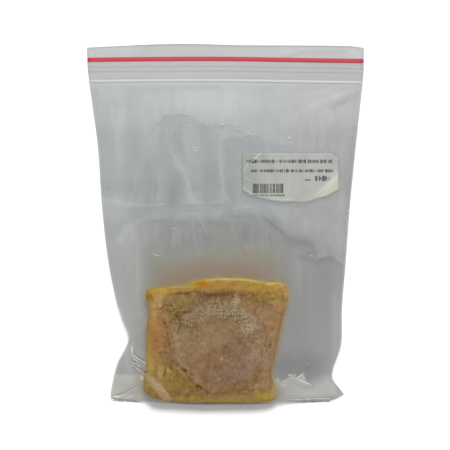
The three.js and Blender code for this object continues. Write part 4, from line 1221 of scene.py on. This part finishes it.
beads = profile_shapes("zip_bead", BEAD_SIDES, BEAD_FLATNESS)
for name, (height, half_width, light) in ZIP_BEADS.items():
    half = np.interp(height, levels, right) - ZIP_END_GAP
    places = np.linspace(-half, half, BEAD_STATIONS)
    line = np.column_stack([places, height + along(ZIP_BOW, places)])
    source = lay_lines(name + "_line", [(line, half_width, light)], BEAD_LIFT, False)
    finish = red.material if name == "zip_red_line" else milky.material
    bead = grow(name + "_bead", source, beads, {"Material": finish})
    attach(bead, "root")
    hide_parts(name)

# The price label.
# A sheet of thermal paper with clipped corners, stuck on the front and creased where the film under it
# moved. Its print is rows of small dark bars, with one striped block.
LABEL_COLUMNS, LABEL_ROWS = 120, 66
# The lamps and the room make the paper show this many times as light as its own colour.
PAPER_GAIN = 1.47
PAPER_SPECK = 0.12
PAPER_TINT = np.array((-3, 0, -7))
FACET_HIGHLIGHT_TINT = np.array((1, 0, 9))
LABEL_CREASES = [
    # Each crease is its course, its half width, its height and how much lighter it shows: painted highlight,
    # painted shade where it is negative.
    ([(18.2, 158.2), (20, 160.4), (22.6, 162.8)], 0.7, 0.3, 34),
    ([(11.6, 151.5), (13.6, 154.5), (14.2, 157)], 0.5, 0.25, 24),
    ([(11.4, 140.5), (13.5, 138.8), (17.5, 136)], 0.6, 0.25, 22),
    ([(12.5, 147), (16, 144.5)], 0.6, 0.2, 10), ([(30, 133.5), (36, 132.6), (44, 133)], 0.6, 0.2, 16),
    ([(68.5, 162.5), (73, 158.5)], 0.6, 0.2, 14), ([(58.8, 135.6), (64, 139.8), (72, 146.4)], 1.2, 0.3, 7),
    ([(66, 138), (71, 143.5)], 1.6, 0.3, 5), ([(12, 162.9), (68, 162.9)], 0.6, 0, 12),
    ([(24, 161), (31, 150), (34, 140)], 2.4, -0.2, -6), ([(52, 160), (49, 148), (52, 136)], 2.8, -0.2, -5),
    ([(40, 162), (42, 147), (40, 133)], 2, 0.2, 4),
]

label_stations = np.linspace(LABEL_LEFT + 0.05, LABEL_RIGHT - 0.05, LABEL_COLUMNS + 1)
label_edges = [crossing(label_points, label_triangles, place, 0, 1) for place in label_stations]
low, high = np.array(label_edges).T
share = np.linspace(0, 1, LABEL_ROWS + 1)[:, None]
paper_x = np.broadcast_to(label_stations[None, :], (LABEL_ROWS + 1, LABEL_COLUMNS + 1))
paper_up = low[None, :] + (high - low)[None, :] * share
paper_up = paper_up + 0.12 * rough(paper_x, paper_up, 5, 81) * np.abs(2 * share - 1) ** 6
paper_z = surface_height(label_tree, paper_x, np.clip(paper_up, low + 0.3, high - 0.3), missed=6.0)
paper_z = blurred(paper_z, 2.0) + 0.1 * rough(paper_x, paper_up, 7, 82)
# The paper's colour with painted light and shade: darker towards its left, a painted highlight on the bent
# facet at its lower right, and a little darker at its upper right.
facet_highlight = smoothstep(-3, 4, (paper_x - 58.5) - 0.85 * (paper_up - 135.2))
paper_shown = 181 + 4 * smoothstep(40, 60, paper_x) - 14 * smoothstep(30, 14, paper_x) + 20 * facet_highlight
paper_shown -= 6 * smoothstep(150, 160, paper_up) * smoothstep(62, 70, paper_x)
for points, width, height, lighter in LABEL_CREASES:
    paper_z = paper_z + height * near_line(paper_x, paper_up, points, width)
    paper_shown = paper_shown + lighter * near_line(paper_x, paper_up, points, width)
paper_shown += 2.5 * rough(paper_x, paper_up, 6, 83)
upper_sheet = np.stack([paper_x, paper_up, paper_z], -1).reshape(-1, 3)
paper_points = np.vstack([upper_sheet, upper_sheet - (0, 0, PAPER)])
paper_faces = grid_faces(LABEL_ROWS, LABEL_COLUMNS)
paper_faces += [tuple(k + len(upper_sheet) for k in face[::-1]) for face in paper_faces]
paper_rim = grid_rim(LABEL_ROWS, LABEL_COLUMNS)
for k, after in zip(paper_rim, paper_rim[1:] + paper_rim[:1]):
    paper_faces.append((k, k + len(upper_sheet), after + len(upper_sheet), after))
label = make_mesh("price_label", paper_points, paper_faces)
paper_tones = paper_shown[..., None] + PAPER_TINT - facet_highlight[..., None] * FACET_HIGHLIGHT_TINT
add_colours(label, "shade", np.tile((linear(paper_tones) / PAPER_GAIN).reshape(-1, 3), (2, 1)))

paper = Finish("thermal_paper")
shade = paper.node("ShaderNodeAttribute", attribute_name="shade").outputs["Color"]
grain = paper.noise(0.7, 3.0)
specks = paper.sum("MULTIPLY", paper.spread(grain, 0.5, 0.8), PAPER_SPECK)
surface = paper.node("ShaderNodeBsdfPrincipled", {
    "Base Color": paper.mix(shade, srgb(120, 122, 112), specks),
    "Roughness": 0.5, "Specular IOR Level": 0.3, "Normal": paper.bump(grain, 0.06, 0.4),
})
label.data.materials.append(paper.finish(surface.outputs[0]))
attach(label, "root")
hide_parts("label")

PRINT = [
    # Each line of print is its start, its height, its length, the space between bars, and its seed.
    ((13.6, 156.4), (1.5, 2.6), 57, 0.62, 1), ((16, 150.4), (1.3, 2.3), 54, 0.62, 2),
    ((57.6, 144.7), (1.4, 3.8), 12.4, 0.8, 3), ((51.8, 144.8), (1, 1.5), 4, 0.55, 4),
    ((17.9, 137), (6, 6.3), 20, 0.52, 5), ((17.6, 135.2), (0.6, 1), 21, 0.5, 6),
]
INK_THICKNESS = 0.05
BAR_WIDTHS = (0.35, 0.95)
BARS_KEPT = 0.88

rows = Shapes("print_bars", {
    "Count": "Int", "Spacing": "Float", "Shortest": "Float", "Tallest": "Float", "Thickness": "Float",
    "Seed": "Int", "Material": "Material",
})
offset = rows.node("ShaderNodeCombineXYZ", {"X": rows.given["Spacing"]})
row = rows.node("GeometryNodeMeshLine", {"Count": rows.given["Count"], "Offset": offset.outputs[0]})
scale = rows.node("ShaderNodeCombineXYZ", {
    "X": rows.times(rows.random(*BAR_WIDTHS), rows.given["Spacing"]),
    "Y": rows.random(rows.given["Shortest"], rows.given["Tallest"]),
    "Z": rows.given["Thickness"],
})
inputs = {"Probability": BARS_KEPT, "Seed": rows.given["Seed"]}
kept = rows.node("FunctionNodeRandomValue", inputs, data_type="BOOLEAN")
bar = rows.node("GeometryNodeMeshCube", {"Size": (1, 1, 1), "Vertices Y": 3})
bars = rows.node("GeometryNodeInstanceOnPoints", {
    "Points": row.outputs[0], "Instance": bar.outputs[0], "Scale": scale.outputs[0],
    "Selection": kept.outputs[3],
})
rows.end(bars.outputs[0])

ink = Finish("thermal_print")
surface = ink.node("ShaderNodeBsdfPrincipled", {
    "Base Color": ink.mix(srgb(36, 36, 38), srgb(82, 84, 80), ink.spread(ink.noise(1.5), 0.4, 0.65)),
    "Roughness": 0.6, "Specular IOR Level": 0.2,
})
ink.finish(surface.outputs[0])
paper_tree = BVHTree.FromPolygons([Vector(point) for point in upper_sheet],
                                  grid_faces(LABEL_ROWS, LABEL_COLUMNS))
for number, ((start_x, start_up), (shortest, tallest), length, spacing, seed) in enumerate(PRINT, 1):
    nothing = bpy.data.objects.new("print_row", bpy.data.meshes.new("print_row"))
    bpy.context.collection.objects.link(nothing)
    bars = grow(f"label_print_{number}", nothing, rows, {
        "Count": int(length / spacing), "Spacing": spacing * MM, "Shortest": shortest * MM,
        "Tallest": tallest * MM, "Thickness": INK_THICKNESS * MM, "Seed": seed, "Material": ink.material,
    })
    places = np.empty(len(bars.data.vertices) * 3)
    bars.data.vertices.foreach_get("co", places)
    places = places.reshape(-1, 3) / MM + (start_x, start_up + tallest / 2, 0)
    places[:, 2] += surface_height(paper_tree, places[:, 0], places[:, 1], missed=6.0) + INK_THICKNESS / 2
    bars.data.vertices.foreach_set("co", ((places + (0, FOLD_Y, 0)) * MM).ravel())
    bars.data.update()
    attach(bars, "root")
    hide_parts("label")

# The table, the light and the camera.
# A plain white surface in an evenly bright room, with a lamp beyond the mouth of the bag and a wider, weaker
# one on its left. The camera looks straight down from 2.5 m.
PIXEL = 0.65
FRAME_PIXELS = 450
CAMERA_HEIGHT = 2.5
SENSOR = 36.0
TABLE_REACH = 3.0
TABLE_DROP = 0.0003
TABLE_WHITE = 0.92
ROOM_LIGHT = 0.5
LAMPS = {
    # Each lamp is its power in watts, its size and its place in metres.
    "key": (12.0, 0.25, (0.05, 0.33, 1.2)),
    "fill": (1.6, 0.8, (-0.8, -0.2, 1.2)),
}
CAMERA_SHIFT = (-0.0003, -0.0006)

table_mesh = bpy.data.meshes.new("table")
quarters = ((-1, -1), (1, -1), (1, 1), (-1, 1))
table_corners = [(a * TABLE_REACH, b * TABLE_REACH, -TABLE_DROP) for a, b in quarters]
table_mesh.from_pydata(table_corners, [], [(0, 1, 2, 3)])
table = bpy.data.objects.new("table", table_mesh)
bpy.context.collection.objects.link(table)
white = Finish("white_table")
surface = white.node("ShaderNodeBsdfDiffuse", {"Color": (TABLE_WHITE, TABLE_WHITE, TABLE_WHITE, 1)})
table_mesh.materials.append(white.finish(surface.outputs[0]))

room = bpy.data.worlds.new("room")
room.use_nodes = True
room.node_tree.nodes["Background"].inputs["Color"].default_value = (1, 1, 1, 1)
room.node_tree.nodes["Background"].inputs["Strength"].default_value = ROOM_LIGHT
bpy.context.scene.world = room
for name, (power, size, place) in LAMPS.items():
    lamp = bpy.data.lights.new(name, "AREA")
    lamp.energy = power
    lamp.size = size
    holder = bpy.data.objects.new(name, lamp)
    holder.location = place
    holder.rotation_euler = (-Vector(place)).to_track_quat("-Z", "Y").to_euler()
    bpy.context.collection.objects.link(holder)

lens = bpy.data.cameras.new("camera")
lens.sensor_width = SENSOR
lens.lens = SENSOR * CAMERA_HEIGHT / (FRAME_PIXELS * PIXEL * MM)
camera = bpy.data.objects.new("camera", lens)
camera.location = (*CAMERA_SHIFT, CAMERA_HEIGHT)
bpy.context.collection.objects.link(camera)
bpy.context.scene.camera = camera
bpy.context.scene.view_settings.view_transform = "Standard"
